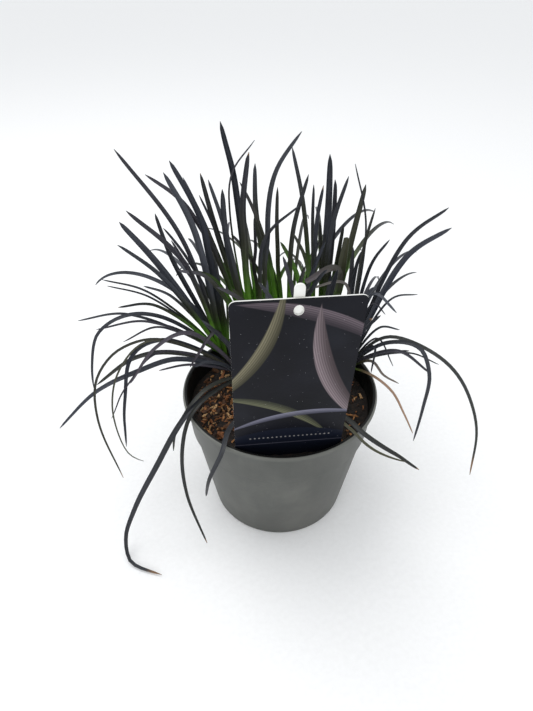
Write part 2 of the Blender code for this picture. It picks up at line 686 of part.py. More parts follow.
def without_crossings(leaves, crowns):
    """Leave out each filled-in leaf that still touches a leaf of another tuft."""
    kept = []
    for tuft, width, weight, path in sorted(leaves, key=lambda leaf: -leaf[2]):
        shape = blade_shape(width + CROSSING, path, crowns[tuft])
        tree = BVHTree.FromBMesh(shape)
        shape.free()
        touching = any(other != tuft and tree.overlap(placed) for other, _, _, placed in kept)
        if weight < 1.0 and touching:
            continue
        kept.append((tuft, width, path, tree))
    return [leaf[:3] for leaf in kept]


def gather(places, pushes, size):
    """Add up the pushes that fall on each point."""
    return np.stack([np.bincount(places, pushes[:, axis], size) for axis in range(3)], axis=1)


def blur(move):
    """Spread each push along its leaf, so the leaf stays a smooth curve."""
    kernel = np.array([1, 3, 5, 6, 5, 3, 1], float)
    kernel = kernel / kernel.sum()
    padded = np.pad(move, ((0, 0), (3, 3), (0, 0)), mode="edge")
    blurred = np.zeros_like(move)
    for i, weight in enumerate(kernel):
        blurred += weight * padded[:, i:i + move.shape[1]]
    return blurred * 1.6


def blade_shape(width, path, crown):
    """A thin keeled strap along a path, its face towards the front for a leaf that shows there."""
    length = np.linalg.norm(np.diff(path, axis=0), axis=1).sum()
    segments = max(5, round(length / LEAF_SEGMENT))
    spine = evenly(path, segments + 1)
    outward = Vector((path[-1][0] - crown[0], path[-1][1] - crown[1], 0.0))
    facing = Vector((0.0, -0.6, 0.8)) if outward.y < 45 * MM else Vector((0, 0, 1)) - outward.normalized() * 0.7
    shape = bmesh.new()
    rings = []
    for i, point in enumerate(spine):
        along = i / segments
        tangent = Vector(spine[min(i + 1, segments)] - spine[max(i - 1, 0)]).normalized()
        across = tangent.cross(facing).normalized()
        through = tangent.cross(across).normalized()
        blunt = LEAF_TIP_SHARE if i == segments else 1.0
        half = max(width * strap(along) * blunt, LEAF_TIP_WIDTH) / 2
        keel = LEAF_KEEL + (LEAF_TIP_KEEL - LEAF_KEEL) * along
        centre = Vector(point) - through * keel / 3
        corners = [(half, 0.0), (-half, 0.0), (0.0, keel)]
        rings.append([shape.verts.new(centre + across * a + through * b) for a, b in corners])
    for lower, upper in zip(rings, rings[1:]):
        for i in range(3):
            j = (i + 1) % 3
            shape.faces.new([lower[i], lower[j], upper[j], upper[i]])
    shape.faces.new(rings[0])
    shape.faces.new(rings[-1])
    bmesh.ops.triangulate(shape, faces=shape.faces)
    bmesh.ops.recalc_face_normals(shape, faces=shape.faces)
    return shape


def make_tuft(name, crown, leaves, material):
    """A crown sunk in the soil with its leaves fused into it as one grown body."""
    foot = Vector((crown[0], crown[1], SOIL_Z - CROWN_DEPTH))
    tuft = rod(name, foot, CROWN_DEPTH + CROWN_RISE, CROWN_RADIUS, CROWN_RADIUS * 0.72, CROWN_SIDES, material)
    blades = [object_from("blade", blade_shape(width, path, crown), material) for width, path in leaves]
    cut_or_join(tuft, blades, "UNION", "MANIFOLD")
    keep_body(tuft)
    shade(tuft, 40)
    return tuft


def main():
    """Build every sub-part in its place."""
    clear_scene()
    make_pot()
    make_label()
    crowns = [tuple(value * MM for value in tuft["crown"]) for tuft in TUFTS.values()]
    make_soil(crowns)
    leaves = without_crossings(push_apart(all_leaves()), crowns)
    leaf_black = surface("leaf", LEAF_BLACK, 0.42)
    for number, name in enumerate(TUFTS):
        own = [(width, path) for tuft, width, path in leaves if tuft == number]
        make_tuft(name, crowns[number], own, leaf_black)


main()
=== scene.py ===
"""Black mondo grass in a grey nursery pot, with a printed label card: the looks, in metres."""

import math
import random

import bpy
import bmesh
import numpy as np
from mathutils import Matrix, Vector, kdtree, noise
from mathutils.bvhtree import BVHTree


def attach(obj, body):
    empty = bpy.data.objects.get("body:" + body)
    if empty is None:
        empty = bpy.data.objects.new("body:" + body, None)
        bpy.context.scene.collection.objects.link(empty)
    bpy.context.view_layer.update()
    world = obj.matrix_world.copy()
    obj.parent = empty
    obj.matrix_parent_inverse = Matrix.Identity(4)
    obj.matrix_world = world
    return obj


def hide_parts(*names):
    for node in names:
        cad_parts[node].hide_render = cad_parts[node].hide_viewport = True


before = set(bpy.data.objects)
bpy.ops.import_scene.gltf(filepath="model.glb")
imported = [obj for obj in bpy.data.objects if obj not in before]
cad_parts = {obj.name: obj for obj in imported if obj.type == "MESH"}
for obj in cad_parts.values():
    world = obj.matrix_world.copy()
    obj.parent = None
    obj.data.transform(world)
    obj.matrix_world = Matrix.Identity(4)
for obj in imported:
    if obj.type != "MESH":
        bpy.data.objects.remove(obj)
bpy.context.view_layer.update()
MM = 0.001
bpy.ops.object.select_all(action="DESELECT")

# Studio: a white sweep that the pot stands on, lit softly from the upper left like a
# catalogue cut-out, and the camera that looks down on it from the front. The picture's height
# and the focal length are in pixels.
CAMERA_PLACE = Vector((-8.97, -270.86, 336.99)) * MM
CAMERA_DOWN = math.radians(38.18)
PHOTO_HEIGHT, PHOTO_FOCAL = 711, 534.0
SENSOR_LONG_SIDE = 36.0
SWEEP_SIZE, SWEEP_DROP = 60.0, 0.4 * MM


def linear(hex_colour):
    """An sRGB hex colour as linear RGBA."""
    parts = [int(hex_colour[i:i + 2], 16) / 255 for i in (1, 3, 5)]
    return tuple(c / 12.92 if c <= 0.04045 else ((c + 0.055) / 1.055) ** 2.4 for c in parts) + (1.0,)


def connect(tree, item, inputs):
    """Give a node's sockets their values and links, by name or in their order."""
    for socket, value in inputs.items() if isinstance(inputs, dict) else enumerate(inputs):
        if isinstance(value, bpy.types.NodeSocket):
            tree.links.new(value, item.inputs[socket])
        else:
            item.inputs[socket].default_value = value


def add_node(tree, kind, inputs=(), out=0, stops=(), **settings):
    """Add a shader node with its settings, ramp stops, values and links, and give one output."""
    item = tree.nodes.new("ShaderNode" + kind)
    for name, value in settings.items():
        setattr(item, name, value)
    for number, (place, colour) in enumerate(stops):
        if number == len(item.color_ramp.elements):
            item.color_ramp.elements.new(place)
        item.color_ramp.elements[number].position = place
        item.color_ramp.elements[number].color = linear(colour)
    connect(tree, item, inputs)
    return item.outputs[out]


def new_material(name):
    """A new material with its node tree and its shader."""
    material = bpy.data.materials.new(name)
    material.use_nodes = True
    tree = material.node_tree
    return material, tree, tree.nodes["Principled BSDF"]


bpy.ops.mesh.primitive_plane_add(size=SWEEP_SIZE, location=(0, 0, -SWEEP_DROP))
sweep = bpy.context.object
sweep.name = "studio_floor"

# Matt paper: an even white with the faintest grain and almost no shine.
sweep_paper, tree, shader = new_material("matt_white_paper")
place = add_node(tree, "TexCoord", out="Object")
grain = add_node(tree, "TexNoise", {"Vector": place, "Scale": 300.0})
white = add_node(tree, "ValToRGB", [grain], stops=[(0.3, "#f7f7f7"), (0.7, "#fbfbfb")])
connect(tree, shader, {"Base Color": white, "Roughness": 0.9, "Specular IOR Level": 0.1})
sweep.data.materials.append(sweep_paper)

camera_data = bpy.data.cameras.new("photo_camera")
camera_data.sensor_width = SENSOR_LONG_SIDE
camera_data.lens = SENSOR_LONG_SIDE * PHOTO_FOCAL / PHOTO_HEIGHT
camera_data.clip_start = 0.01
camera = bpy.data.objects.new("photo_camera", camera_data)
bpy.context.scene.collection.objects.link(camera)
camera.location = CAMERA_PLACE
camera.rotation_euler = (math.pi / 2 - CAMERA_DOWN, 0.0, 0.0)
bpy.context.scene.camera = camera


def softbox(name, place, target, size, power):
    """A square area light aimed at a point."""
    data = bpy.data.lights.new(name, "AREA")
    data.size = size
    data.energy = power
    box = bpy.data.objects.new(name, data)
    box.location = place
    box.rotation_euler = (Vector(target) - Vector(place)).to_track_quat("-Z", "Y").to_euler()
    bpy.context.scene.collection.objects.link(box)


softbox("overhead_softbox", (-0.35, 0.25, 1.25), (0, 0, 0.08), 0.7, 5.0)
softbox("front_fill", (-0.55, -1.1, 0.75), (0, 0, 0.1), 0.7, 2.0)
world = bpy.data.worlds.new("studio")
bpy.context.scene.world = world
world.use_nodes = True
world.node_tree.nodes["Background"].inputs["Color"].default_value = linear("#f4f6f8")
world.node_tree.nodes["Background"].inputs["Strength"].default_value = 0.98
bpy.context.scene.view_settings.view_transform = "Standard"

# Pot: a thin tapered nursery pot, moulded in grey recycled polypropylene and coloured near black
# on its inner faces, with a deeper collar under a rolled lip and round drainage holes in its flat base.
POT_HEIGHT = 98.5 * MM
POT_LIP = 3.0 * MM
POT_WALL = 1.4 * MM
POT_FLOOR = 1.6 * MM
POT_SIDES = 160
COLLAR_Z = 72.6 * MM
BASE_RADIUS, WAIST_RADIUS, BASE_EDGE = 48.4 * MM, 59.6 * MM, 1.3 * MM
COLLAR_RADIUS, COLLAR_TOP_RADIUS, RIM_RADIUS = 61.1 * MM, 63.2 * MM, 65.0 * MM


def pull_up(height, scale, place_z):
    """Extrude the selected faces upwards and widen or narrow them about the axis."""
    bpy.ops.mesh.extrude_region_move(TRANSFORM_OT_translate={"value": (0, 0, height)})
    bpy.ops.transform.resize(value=(scale, scale, 1.0), center_override=(0, 0, place_z))


bpy.ops.mesh.primitive_circle_add(vertices=POT_SIDES, radius=BASE_RADIUS - BASE_EDGE, fill_type="NGON")
pot = bpy.context.object
pot.name = "pot_shell"
bpy.ops.object.mode_set(mode="EDIT")
bpy.ops.mesh.select_mode(type="FACE")
bpy.ops.mesh.select_all(action="SELECT")
lip_z = POT_HEIGHT - POT_LIP
pot_profile = [
    (BASE_RADIUS - 0.5 * MM, 0.25 * MM),
    (BASE_RADIUS - 0.1 * MM, 0.7 * MM),
    (BASE_RADIUS + 0.05 * MM, 1.3 * MM),
    (WAIST_RADIUS - 0.1 * MM, COLLAR_Z - 1.6 * MM),
    (WAIST_RADIUS, COLLAR_Z - 1.1 * MM),
    (WAIST_RADIUS + 0.5 * MM, COLLAR_Z - 0.6 * MM),
    (COLLAR_RADIUS - 0.3 * MM, COLLAR_Z - 0.3 * MM),
    (COLLAR_RADIUS, COLLAR_Z + 0.4 * MM),
    (COLLAR_TOP_RADIUS - 0.15 * MM, lip_z - 0.5 * MM),
    (COLLAR_TOP_RADIUS + 0.1 * MM, lip_z),
    (RIM_RADIUS - 0.7 * MM, lip_z + 0.1 * MM),
    (RIM_RADIUS - 0.15 * MM, lip_z + 0.45 * MM),
    (RIM_RADIUS, lip_z + 1.0 * MM),
    (RIM_RADIUS, POT_HEIGHT - 1.1 * MM),
    (RIM_RADIUS - 0.2 * MM, POT_HEIGHT - 0.5 * MM),
    (RIM_RADIUS - 0.6 * MM, POT_HEIGHT - 0.1 * MM),
    (RIM_RADIUS - 1.1 * MM, POT_HEIGHT),
    (COLLAR_TOP_RADIUS - 0.7 * MM, POT_HEIGHT - 0.1 * MM),
    (COLLAR_TOP_RADIUS - 1.2 * MM, POT_HEIGHT - 0.6 * MM),
    (COLLAR_TOP_RADIUS - POT_WALL, POT_HEIGHT - 1.4 * MM),
    (COLLAR_TOP_RADIUS - POT_WALL, lip_z - 0.5 * MM),
    (COLLAR_RADIUS - POT_WALL, COLLAR_Z + 1.0 * MM),
    (WAIST_RADIUS - POT_WALL, COLLAR_Z - 1.0 * MM),
    (BASE_RADIUS - POT_WALL, POT_FLOOR + 1.0 * MM),
    (BASE_RADIUS - POT_WALL - 1.0 * MM, POT_FLOOR),
]
radius, height = BASE_RADIUS - BASE_EDGE, 0.0
for next_radius, next_height in pot_profile:
    pull_up(next_height - height, next_radius / radius, next_height)
    radius, height = next_radius, next_height
bpy.ops.mesh.select_all(action="SELECT")
bpy.ops.mesh.normals_make_consistent(inside=False)
bpy.ops.object.mode_set(mode="OBJECT")
bpy.ops.object.select_all(action="DESELECT")

DRAIN_HOLES, DRAIN_RADIUS, DRAIN_CIRCLE = 6, 4.0 * MM, 36.0 * MM
for hole in range(DRAIN_HOLES):
    angle = math.tau * (hole + 0.5) / DRAIN_HOLES
    place = (DRAIN_CIRCLE * math.cos(angle), DRAIN_CIRCLE * math.sin(angle), 0.8 * MM)
    bpy.ops.mesh.primitive_cylinder_add(vertices=32, radius=DRAIN_RADIUS, depth=6 * MM, location=place)
    drill = bpy.context.object
    bpy.context.view_layer.objects.active = pot
    cut = pot.modifiers.new("drain", "BOOLEAN")
    cut.object = drill
    bpy.ops.object.modifier_apply(modifier=cut.name)
    bpy.data.objects.remove(drill, do_unlink=True)
pot.select_set(True)
bpy.ops.object.shade_smooth_by_angle(angle=math.radians(40))
pot.select_set(False)

# Recycled polypropylene, injection moulded: a satin grey skin with fine scuffs, dusty water
# marks that run down it, and a painted highlight that makes the lip paler towards its top.
pot_plastic, tree, shader = new_material("moulded_grey_polypropylene")
place = add_node(tree, "TexCoord", out="Object")
level = add_node(tree, "SeparateXYZ", [place], out="Z")
cloud = add_node(tree, "TexNoise", {"Vector": place, "Scale": 28.0, "Detail": 5.0, "Roughness": 0.62})
wash = add_node(tree, "TexNoise", {"Vector": place, "Scale": 14.0, "Detail": 2.0})
streak_place = add_node(tree, "Mapping", {"Vector": place, "Scale": (1.0, 1.0, 0.16)})
streaks = add_node(tree, "TexNoise", {"Vector": streak_place, "Scale": 160.0, "Detail": 4.0})
scuffs = add_node(tree, "TexNoise", {"Vector": place, "Scale": 420.0, "Detail": 2.0})
grey = add_node(tree, "ValToRGB", [cloud], stops=[(0.28, "#3d403b"), (0.50, "#4c4e4a"), (0.74, "#5f615c")])
warm = add_node(tree, "ValToRGB", [wash], stops=[(0.42, "#000000"), (0.68, "#707070")])
dust = add_node(tree, "ValToRGB", [streaks], stops=[(0.46, "#000000"), (0.75, "#5a5a5a")])
scratched = add_node(tree, "ValToRGB", [scuffs], stops=[(0.62, "#000000"), (0.74, "#3a3a3a")])
# Painted highlight: a paler grey mixed in up the lip, strongest at the pot's top edge.
painted_lip_highlight = add_node(tree, "MapRange", [level, lip_z, POT_HEIGHT, 0.0, 0.35])
for share, colour in [(warm, "#5b5450"), (dust, "#6f706b"), (scratched, "#7d7e78"), (painted_lip_highlight, "#8a8b84")]:
    grey = add_node(tree, "MixRGB", [share, grey, linear(colour)])
rough = add_node(tree, "MapRange", {"Value": cloud, "To Min": 0.40, "To Max": 0.62})
orange_peel = add_node(tree, "Bump", {"Height": scuffs, "Strength": 0.12, "Distance": 0.2 * MM})
connect(tree, shader, {"Base Color": grey, "Roughness": rough, "IOR": 1.49, "Normal": orange_peel})

# The inner faces of the same plastic, coloured near black and dulled by a film of damp compost.
black_inside, tree, shader = new_material("near_black_inner_plastic")
place = add_node(tree, "TexCoord", out="Object")
film = add_node(tree, "TexNoise", {"Vector": place, "Scale": 70.0, "Detail": 5.0})
black = add_node(tree, "ValToRGB", [film], stops=[(0.35, "#0b0b0b"), (0.7, "#191a18")])
damp = add_node(tree, "Bump", {"Height": film, "Strength": 0.2, "Distance": 0.3 * MM})
connect(tree, shader, {"Base Color": black, "Roughness": 0.5, "Specular IOR Level": 0.25, "Normal": damp})

pot.data.materials.append(pot_plastic)
pot.data.materials.append(black_inside)
# The inward faces, the inner half of the lip's top and the inner floor take the near-black colour.
for face in pot.data.polygons:
    out = Vector((face.center.x, face.center.y, 0.0))
    inward = out.length > 1e-4 and face.normal.dot(out.normalized()) < -0.3
    lip_top = face.center.z > POT_HEIGHT - 0.6 * MM and out.length < RIM_RADIUS - 1.3 * MM
    inner_floor = face.normal.z > 0.7 and POT_FLOOR * 0.9 < face.center.z < COLLAR_Z + 2 * MM
    face.material_index = 1 if inward or lip_top or inner_floor else 0
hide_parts("pot")
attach(pot, "root")

# Compost: dark moist peat and fine bark that fills the pot to 14 mm under its rim. Its top is
# raked with crumbs; the leaves' crowns and the label stand in it.
SOIL_Z = 84.5 * MM
SOIL_CROWN = 2.0 * MM
SOIL_RADIUS = 60.45 * MM
SOIL_SIDES = 200
SOIL_RING = 0.85 * MM


def soil_height(x, y):
    """Height of the soil's uneven top, with a slight crown in the middle."""
    mound = SOIL_CROWN * (1.0 - (math.hypot(x, y) / RIM_RADIUS) ** 2)
    waves = 0.7 * MM * math.sin(x / (9.0 * MM) + 1.3) * math.cos(y / (11.0 * MM))
    ripples = 0.4 * MM * math.sin(x / (4.0 * MM) - y / (5.0 * MM))
    return SOIL_Z + mound + waves + ripples


bpy.ops.mesh.primitive_circle_add(
    vertices=SOIL_SIDES, radius=SOIL_RADIUS, fill_type="NGON", location=(0, 0, SOIL_Z))
soil = bpy.context.object
soil.name = "compost_top"
bpy.ops.object.transform_apply(location=True)
bpy.ops.object.mode_set(mode="EDIT")
bpy.ops.mesh.select_mode(type="FACE")
bpy.ops.mesh.select_all(action="SELECT")
for ring in range(int(SOIL_RADIUS / SOIL_RING) - 3):
    bpy.ops.mesh.inset(thickness=SOIL_RING, depth=0.0)
bpy.ops.mesh.poke()
bpy.ops.mesh.select_all(action="DESELECT")
bpy.ops.mesh.select_mode(type="EDGE")
bpy.ops.mesh.select_non_manifold()
for drop, squeeze in ((2 * MM, 0.996), (9 * MM, 0.985), (4 * MM, 0.967), (67 * MM, 0.83)):
    bpy.ops.mesh.extrude_region_move(TRANSFORM_OT_translate={"value": (0, 0, -drop)})
    bpy.ops.transform.resize(value=(squeeze, squeeze, 1.0), center_override=(0, 0, 0))
bpy.ops.mesh.edge_face_add()
bpy.ops.mesh.select_all(action="SELECT")
bpy.ops.mesh.normals_make_consistent(inside=False)
bpy.ops.object.mode_set(mode="OBJECT")
for vert in soil.data.vertices:
    if vert.co.z > SOIL_Z - 0.5 * MM:
        at = vert.co / MM
        clods = abs(noise.noise(at * 0.9 + Vector((7, 3, 1))))
        crumbs = noise.fractal(at * 0.35, 0.9, 2.1, 5) * 0.75 + clods * 1.3
        edge = min(1.0, (SOIL_RADIUS - at.to_2d().length * MM) / (3 * MM))
        vert.co.z = soil_height(vert.co.x, vert.co.y) + (crumbs - 0.5) * MM * (0.35 + 0.65 * max(edge, 0.0))
bpy.ops.object.select_all(action="DESELECT")
soil.select_set(True)
bpy.ops.object.shade_smooth()
soil.select_set(False)

# Moist peat compost: near black where wet, brown where a crumb has dried, with almost no shine.
peat, tree, shader = new_material("moist_peat_compost")
place = add_node(tree, "TexCoord", out="Object")
lumps = add_node(tree, "TexNoise", {"Vector": place, "Scale": 350.0, "Detail": 8.0, "Roughness": 0.7})
patches = add_node(tree, "TexNoise", {"Vector": place, "Scale": 60.0, "Detail": 3.0})
crumb_stops = [(0.32, "#0d0907"), (0.50, "#1b1410"), (0.62, "#33241a"), (0.74, "#5e4430")]
crumb_colour = add_node(tree, "ValToRGB", [lumps], stops=crumb_stops)
wet = add_node(tree, "ValToRGB", [patches], stops=[(0.4, "#202020"), (0.65, "#b0b0b0")])
earth = add_node(tree, "MixRGB", [wet, crumb_colour, linear("#130e0b")])
grit = add_node(tree, "Bump", {"Height": lumps, "Strength": 0.9, "Distance": 1.2 * MM})
connect(tree, shader, {"Base Color": earth, "Roughness": 0.88, "Normal": grit})
soil.data.materials.append(peat)
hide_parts("soil")
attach(soil, "root")

# Bark: split pine bark and wood crumbs mixed through the compost that have worked up to its
# top, from fine brown crumbs to orange-brown chips that lie thickest at the front left.
BARK_SEED = 7
BARK_SIZES = [
    # count, shortest, longest, middle of the heap, how far they scatter round it, all in mm
    (520, 0.8, 2.0, (4, 0), 34),
    (60, 2.0, 4.5, (10, 0), 36),
    (450, 1.0, 2.6, (-40, -6), 20),
    (300, 2.4, 4.8, (-39, -8), 15),
    (90, 4.2, 8.0, (-40, -6), 14),
    (110, 1.2, 3.4, (53, -8), 12),
]
BARK_ODD = [
    # length, width, place, heading in degrees, tone: the pale chip and the slivers at the right
    (5.0, 1.8, (56.0, 2.0), 100, 5),
    (13.0, 0.8, (45.0, -16.0), -15, 4),
    (9.0, 0.8, (49.0, 12.0), 40, 3),
    (7.0, 0.8, (44.0, -30.0), 70, 2),
]
ODD_BARK_RISE, ODD_BARK_THICKNESS = 0.8 * MM, 0.9 * MM
CARD_FOOT_Y, CARD_FOOT_HALF = -42 * MM, 36 * MM
BARK_TONES = ["#1c120c", "#372316", "#634025", "#976038", "#b9814d", "#d0a674"]

bpy.ops.mesh.primitive_cube_add(size=1.0)
chip = bpy.context.object
chip.name = "bark_chip"
bpy.ops.object.mode_set(mode="EDIT")
bpy.ops.mesh.select_all(action="SELECT")
bpy.ops.mesh.subdivide(number_cuts=2)
bpy.ops.transform.tosphere(value=0.35)
bpy.ops.object.mode_set(mode="OBJECT")
for vert in chip.data.vertices:
    vert.co += noise.noise_vector(vert.co * 2.7) * 0.16
    vert.co.y *= 0.8 - 0.35 * vert.co.x
bpy.ops.object.shade_smooth_by_angle(angle=math.radians(32))

# Bark and wood: a fibrous matt split face that runs from damp black-brown to dry orange-tan.
bark_wood, tree, shader = new_material("split_pine_bark")
place = add_node(tree, "TexCoord", out="Object")
tone = add_node(tree, "Attribute", attribute_name="bark_tone")
fibre = add_node(tree, "TexNoise", {"Vector": place, "Scale": 900.0, "Detail": 4.0})
grooves = add_node(tree, "ValToRGB", [fibre], stops=[(0.35, "#d0d0d0"), (0.62, "#202020")])
wood = add_node(tree, "MixRGB", [grooves, tone, linear("#1b100a")])
split = add_node(tree, "Bump", {"Height": fibre, "Strength": 0.6, "Distance": 0.4 * MM})
connect(tree, shader, {"Base Color": wood, "Roughness": 0.78, "Normal": split})
chip.data.materials.append(bark_wood)


def paint(thing, name, colour):
    """Give every point of a piece one value in its own colour attribute."""
    layer = thing.data.attributes.new(name=name, type="FLOAT_COLOR", domain="POINT")
    layer.data.foreach_set("color", list(colour) * len(thing.data.vertices))


def place_chip(spot, turn, size, bright):
    """A copy of the chip, sized, turned and laid at a spot, in one of the bark's tones."""
    copy = chip.copy()
    copy.data = chip.data.copy()
    bpy.context.scene.collection.objects.link(copy)
    copy.data.transform(Matrix.Translation(spot) @ turn @ Matrix.Diagonal((*size, 1.0)))
    paint(copy, "bark_tone", linear(BARK_TONES[bright]))
    return copy


draw = random.Random(BARK_SEED)
chips = []
for count, shortest, longest, middle, scatter in BARK_SIZES:
    for i in range(count):
        length = draw.uniform(shortest, longest) * MM
        aside = middle[0] + draw.gauss(0, scatter)
        spot = Vector((aside, middle[1] + draw.gauss(0, scatter * 1.4), 0.0)) * MM
        under_card = spot.y < CARD_FOOT_Y and abs(spot.x) < CARD_FOOT_HALF
        if spot.length > SOIL_RADIUS - 0.5 * length - 1.5 * MM or under_card:
            continue
        spot.z = soil_height(spot.x, spot.y) + draw.uniform(0.0, 0.9) * MM
        size = Vector((length, length * draw.uniform(0.2, 0.48), length * draw.uniform(0.12, 0.28)))
        heading = Matrix.Rotation(draw.uniform(0, math.tau), 4, "Z")
        turn = heading @ Matrix.Rotation(draw.gauss(0, 0.6), 4, "Y")
        bright = min(5, int(abs(draw.gauss(0.0, 2.4)) + (1.3 if length > 2.4 * MM else 0.4)))
        chips.append(place_chip(spot, turn, size, bright))
for length, width, (x, y), heading, tone in BARK_ODD:
    spot = Vector((x * MM, y * MM, soil_height(x * MM, y * MM) + ODD_BARK_RISE))
    turn = Matrix.Rotation(math.radians(heading), 4, "Z")
    chips.append(place_chip(spot, turn, (length * MM, width * MM, ODD_BARK_THICKNESS), tone))
bpy.data.objects.remove(chip, do_unlink=True)
bpy.ops.object.select_all(action="DESELECT")
for piece in chips:
    piece.select_set(True)
bpy.context.view_layer.objects.active = chips[0]
bpy.ops.object.join()
bark = bpy.context.object
bark.name = "bark_chips"
bark.select_set(False)
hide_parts("soil")
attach(bark, "root")

# Label card: a thin printed plastic card with round corners and a punched hole near its top.
# Its tail is pushed into the compost at the front, so it leans a little to the viewer.
CARD_WIDTH, CARD_HEIGHT, CARD_THICKNESS, CARD_CORNER = 64.3 * MM, 131.0 * MM, 0.7 * MM, 3.5 * MM
CARD_TAIL_WIDTH, CARD_TAIL_LENGTH, CARD_TAIL_POINT = 22.0 * MM, 48.0 * MM, 16 * MM
CARD_TOP = Vector((6.0, -67.0, 209.3)) * MM
CARD_LEAN, CARD_TURN = math.radians(8.3), math.radians(5.9)
CARD_HOLE_RADIUS, CARD_HOLE_STRETCH, CARD_HOLE_DROP = 2.5 * MM, 1.3 * MM, 7.2 * MM
STAKE_THICKNESS = 1.2 * MM


def card_frame():
    """Where the card hangs: X across it, Z up it, Y out of its back, origin at its top edge."""
    turn = Matrix.Rotation(CARD_TURN, 4, "Z") @ Matrix.Rotation(CARD_LEAN, 4, "X")
    return Matrix.Translation(CARD_TOP) @ turn


def select_edges(thing, test):
    """Select only the edges that pass a test on their middle, in edge mode."""
    bpy.ops.mesh.select_mode(type="EDGE")
    bpy.ops.mesh.select_all(action="DESELECT")
    bpy.ops.object.mode_set(mode="OBJECT")
    verts = thing.data.vertices
    for edge in thing.data.edges:
        a, b = (verts[i].co for i in edge.vertices)
        edge.select = bool(test((a + b) / 2, b - a))
    bpy.ops.object.mode_set(mode="EDIT")


bpy.ops.mesh.primitive_plane_add(size=1.0, rotation=(math.pi / 2, 0, 0), location=(0, 0, -CARD_HEIGHT / 2))
card = bpy.context.object
card.name = "printed_card"
card.scale = (CARD_WIDTH, CARD_HEIGHT, 1.0)
bpy.ops.object.transform_apply(location=True, rotation=True, scale=True)
bpy.ops.object.mode_set(mode="EDIT")
bpy.ops.mesh.select_all(action="SELECT")
for side in (-1, 1):
    bpy.ops.mesh.bisect(plane_co=(side * CARD_TAIL_WIDTH / 2, 0, 0), plane_no=(1, 0, 0))
    bpy.ops.mesh.select_all(action="SELECT")
select_edges(card, lambda middle, run: abs(middle.x) < 1 * MM and middle.z < -CARD_HEIGHT + 1 * MM)
bpy.ops.mesh.extrude_region_move(TRANSFORM_OT_translate={"value": (0, 0, CARD_TAIL_POINT - CARD_TAIL_LENGTH)})
bpy.ops.mesh.extrude_region_move(TRANSFORM_OT_translate={"value": (0, 0, -CARD_TAIL_POINT)})
bpy.ops.transform.resize(value=(0.18, 1, 1), center_override=(0, 0, 0))
bpy.ops.mesh.select_mode(type="VERT")
bpy.ops.mesh.select_all(action="DESELECT")
bpy.ops.object.mode_set(mode="OBJECT")
for vert in card.data.vertices:
    vert.select = vert.co.z > -1 * MM and abs(vert.co.x) > CARD_WIDTH / 2 - 1 * MM
bpy.ops.object.mode_set(mode="EDIT")
bpy.ops.mesh.bevel(offset=CARD_CORNER, segments=10, affect="VERTICES")
bpy.ops.object.mode_set(mode="OBJECT")
thicken = card.modifiers.new("sheet", "SOLIDIFY")
thicken.thickness = CARD_THICKNESS
thicken.offset = -1.0
bpy.ops.object.modifier_apply(modifier=thicken.name)
bpy.ops.mesh.primitive_cylinder_add(
    vertices=48, radius=CARD_HOLE_RADIUS, depth=8 * MM, rotation=(math.pi / 2, 0, 0),
    location=(0, 0, -CARD_HOLE_DROP))
punch = bpy.context.object
punch.scale = (1.0, 1.0 + CARD_HOLE_STRETCH / (2 * CARD_HOLE_RADIUS), 1.0)
bpy.ops.object.transform_apply(location=True, rotation=True, scale=True)
punched = card.modifiers.new("punched_hole", "BOOLEAN")
punched.object = punch
bpy.context.view_layer.objects.active = card
bpy.ops.object.modifier_apply(modifier=punched.name)
bpy.data.objects.remove(punch, do_unlink=True)

# The print's own map: across and up the card in millimetres from its lower left corner.
print_map = card.data.uv_layers.get("UVMap") or card.data.uv_layers.new(name="UVMap")
for loop in card.data.loops:
    point = card.data.vertices[loop.vertex_index].co
    print_map.data[loop.index].uv = ((point.x + CARD_WIDTH / 2) / MM, (point.z + CARD_HEIGHT) / MM)

# Offset print on satin polypropylene: a dark charcoal picture of long curved petals, with a navy
# panel below them, and the fine speckle of handled, dusty plastic.
printed, tree, shader = new_material("printed_satin_card")
smooth = {"interpolation_type": "SMOOTHSTEP"}
uv = add_node(tree, "TexCoord", out="UV")
across, up = (add_node(tree, "SeparateXYZ", [uv], out=axis) for axis in "XY")


def petal(middle, angle, half_length, half_width, bend):
    """A long curved petal on the card: how far it covers, and the place across it, in mm."""
    turned = {"Vector": uv, "Location": (*middle, 0.0), "Rotation": (0.0, 0.0, math.radians(angle))}
    own = add_node(tree, "Mapping", turned, vector_type="TEXTURE")
    run, off = (add_node(tree, "SeparateXYZ", [own], out=axis) for axis in "XY")
    squared = add_node(tree, "Math", [run, run], operation="MULTIPLY")
    bowed = add_node(tree, "Math", [squared, bend, off], operation="MULTIPLY_ADD")
    room = run
    for operation, value in [("DIVIDE", half_length), ("ABSOLUTE", 0.0), ("POWER", 2.4)]:
        room = add_node(tree, "Math", [room, value], operation=operation)
    room = add_node(tree, "Math", [room, -half_width, half_width], operation="MULTIPLY_ADD")
    reach = add_node(tree, "Math", [bowed], operation="ABSOLUTE")
    inside = add_node(tree, "Math", [room, reach], operation="SUBTRACT")
    return add_node(tree, "MapRange", [inside, 0.0, 0.9, 0.0, 0.9], **smooth), bowed


def band(value, low, high, soft):
    """How far a value lies between two others, with soft edges, in mm."""
    rise = add_node(tree, "MapRange", [value, low, low + soft], **smooth)
    fall = add_node(tree, "MapRange", [value, high, high - soft], **smooth)
    return add_node(tree, "Math", [rise, fall], operation="MULTIPLY")


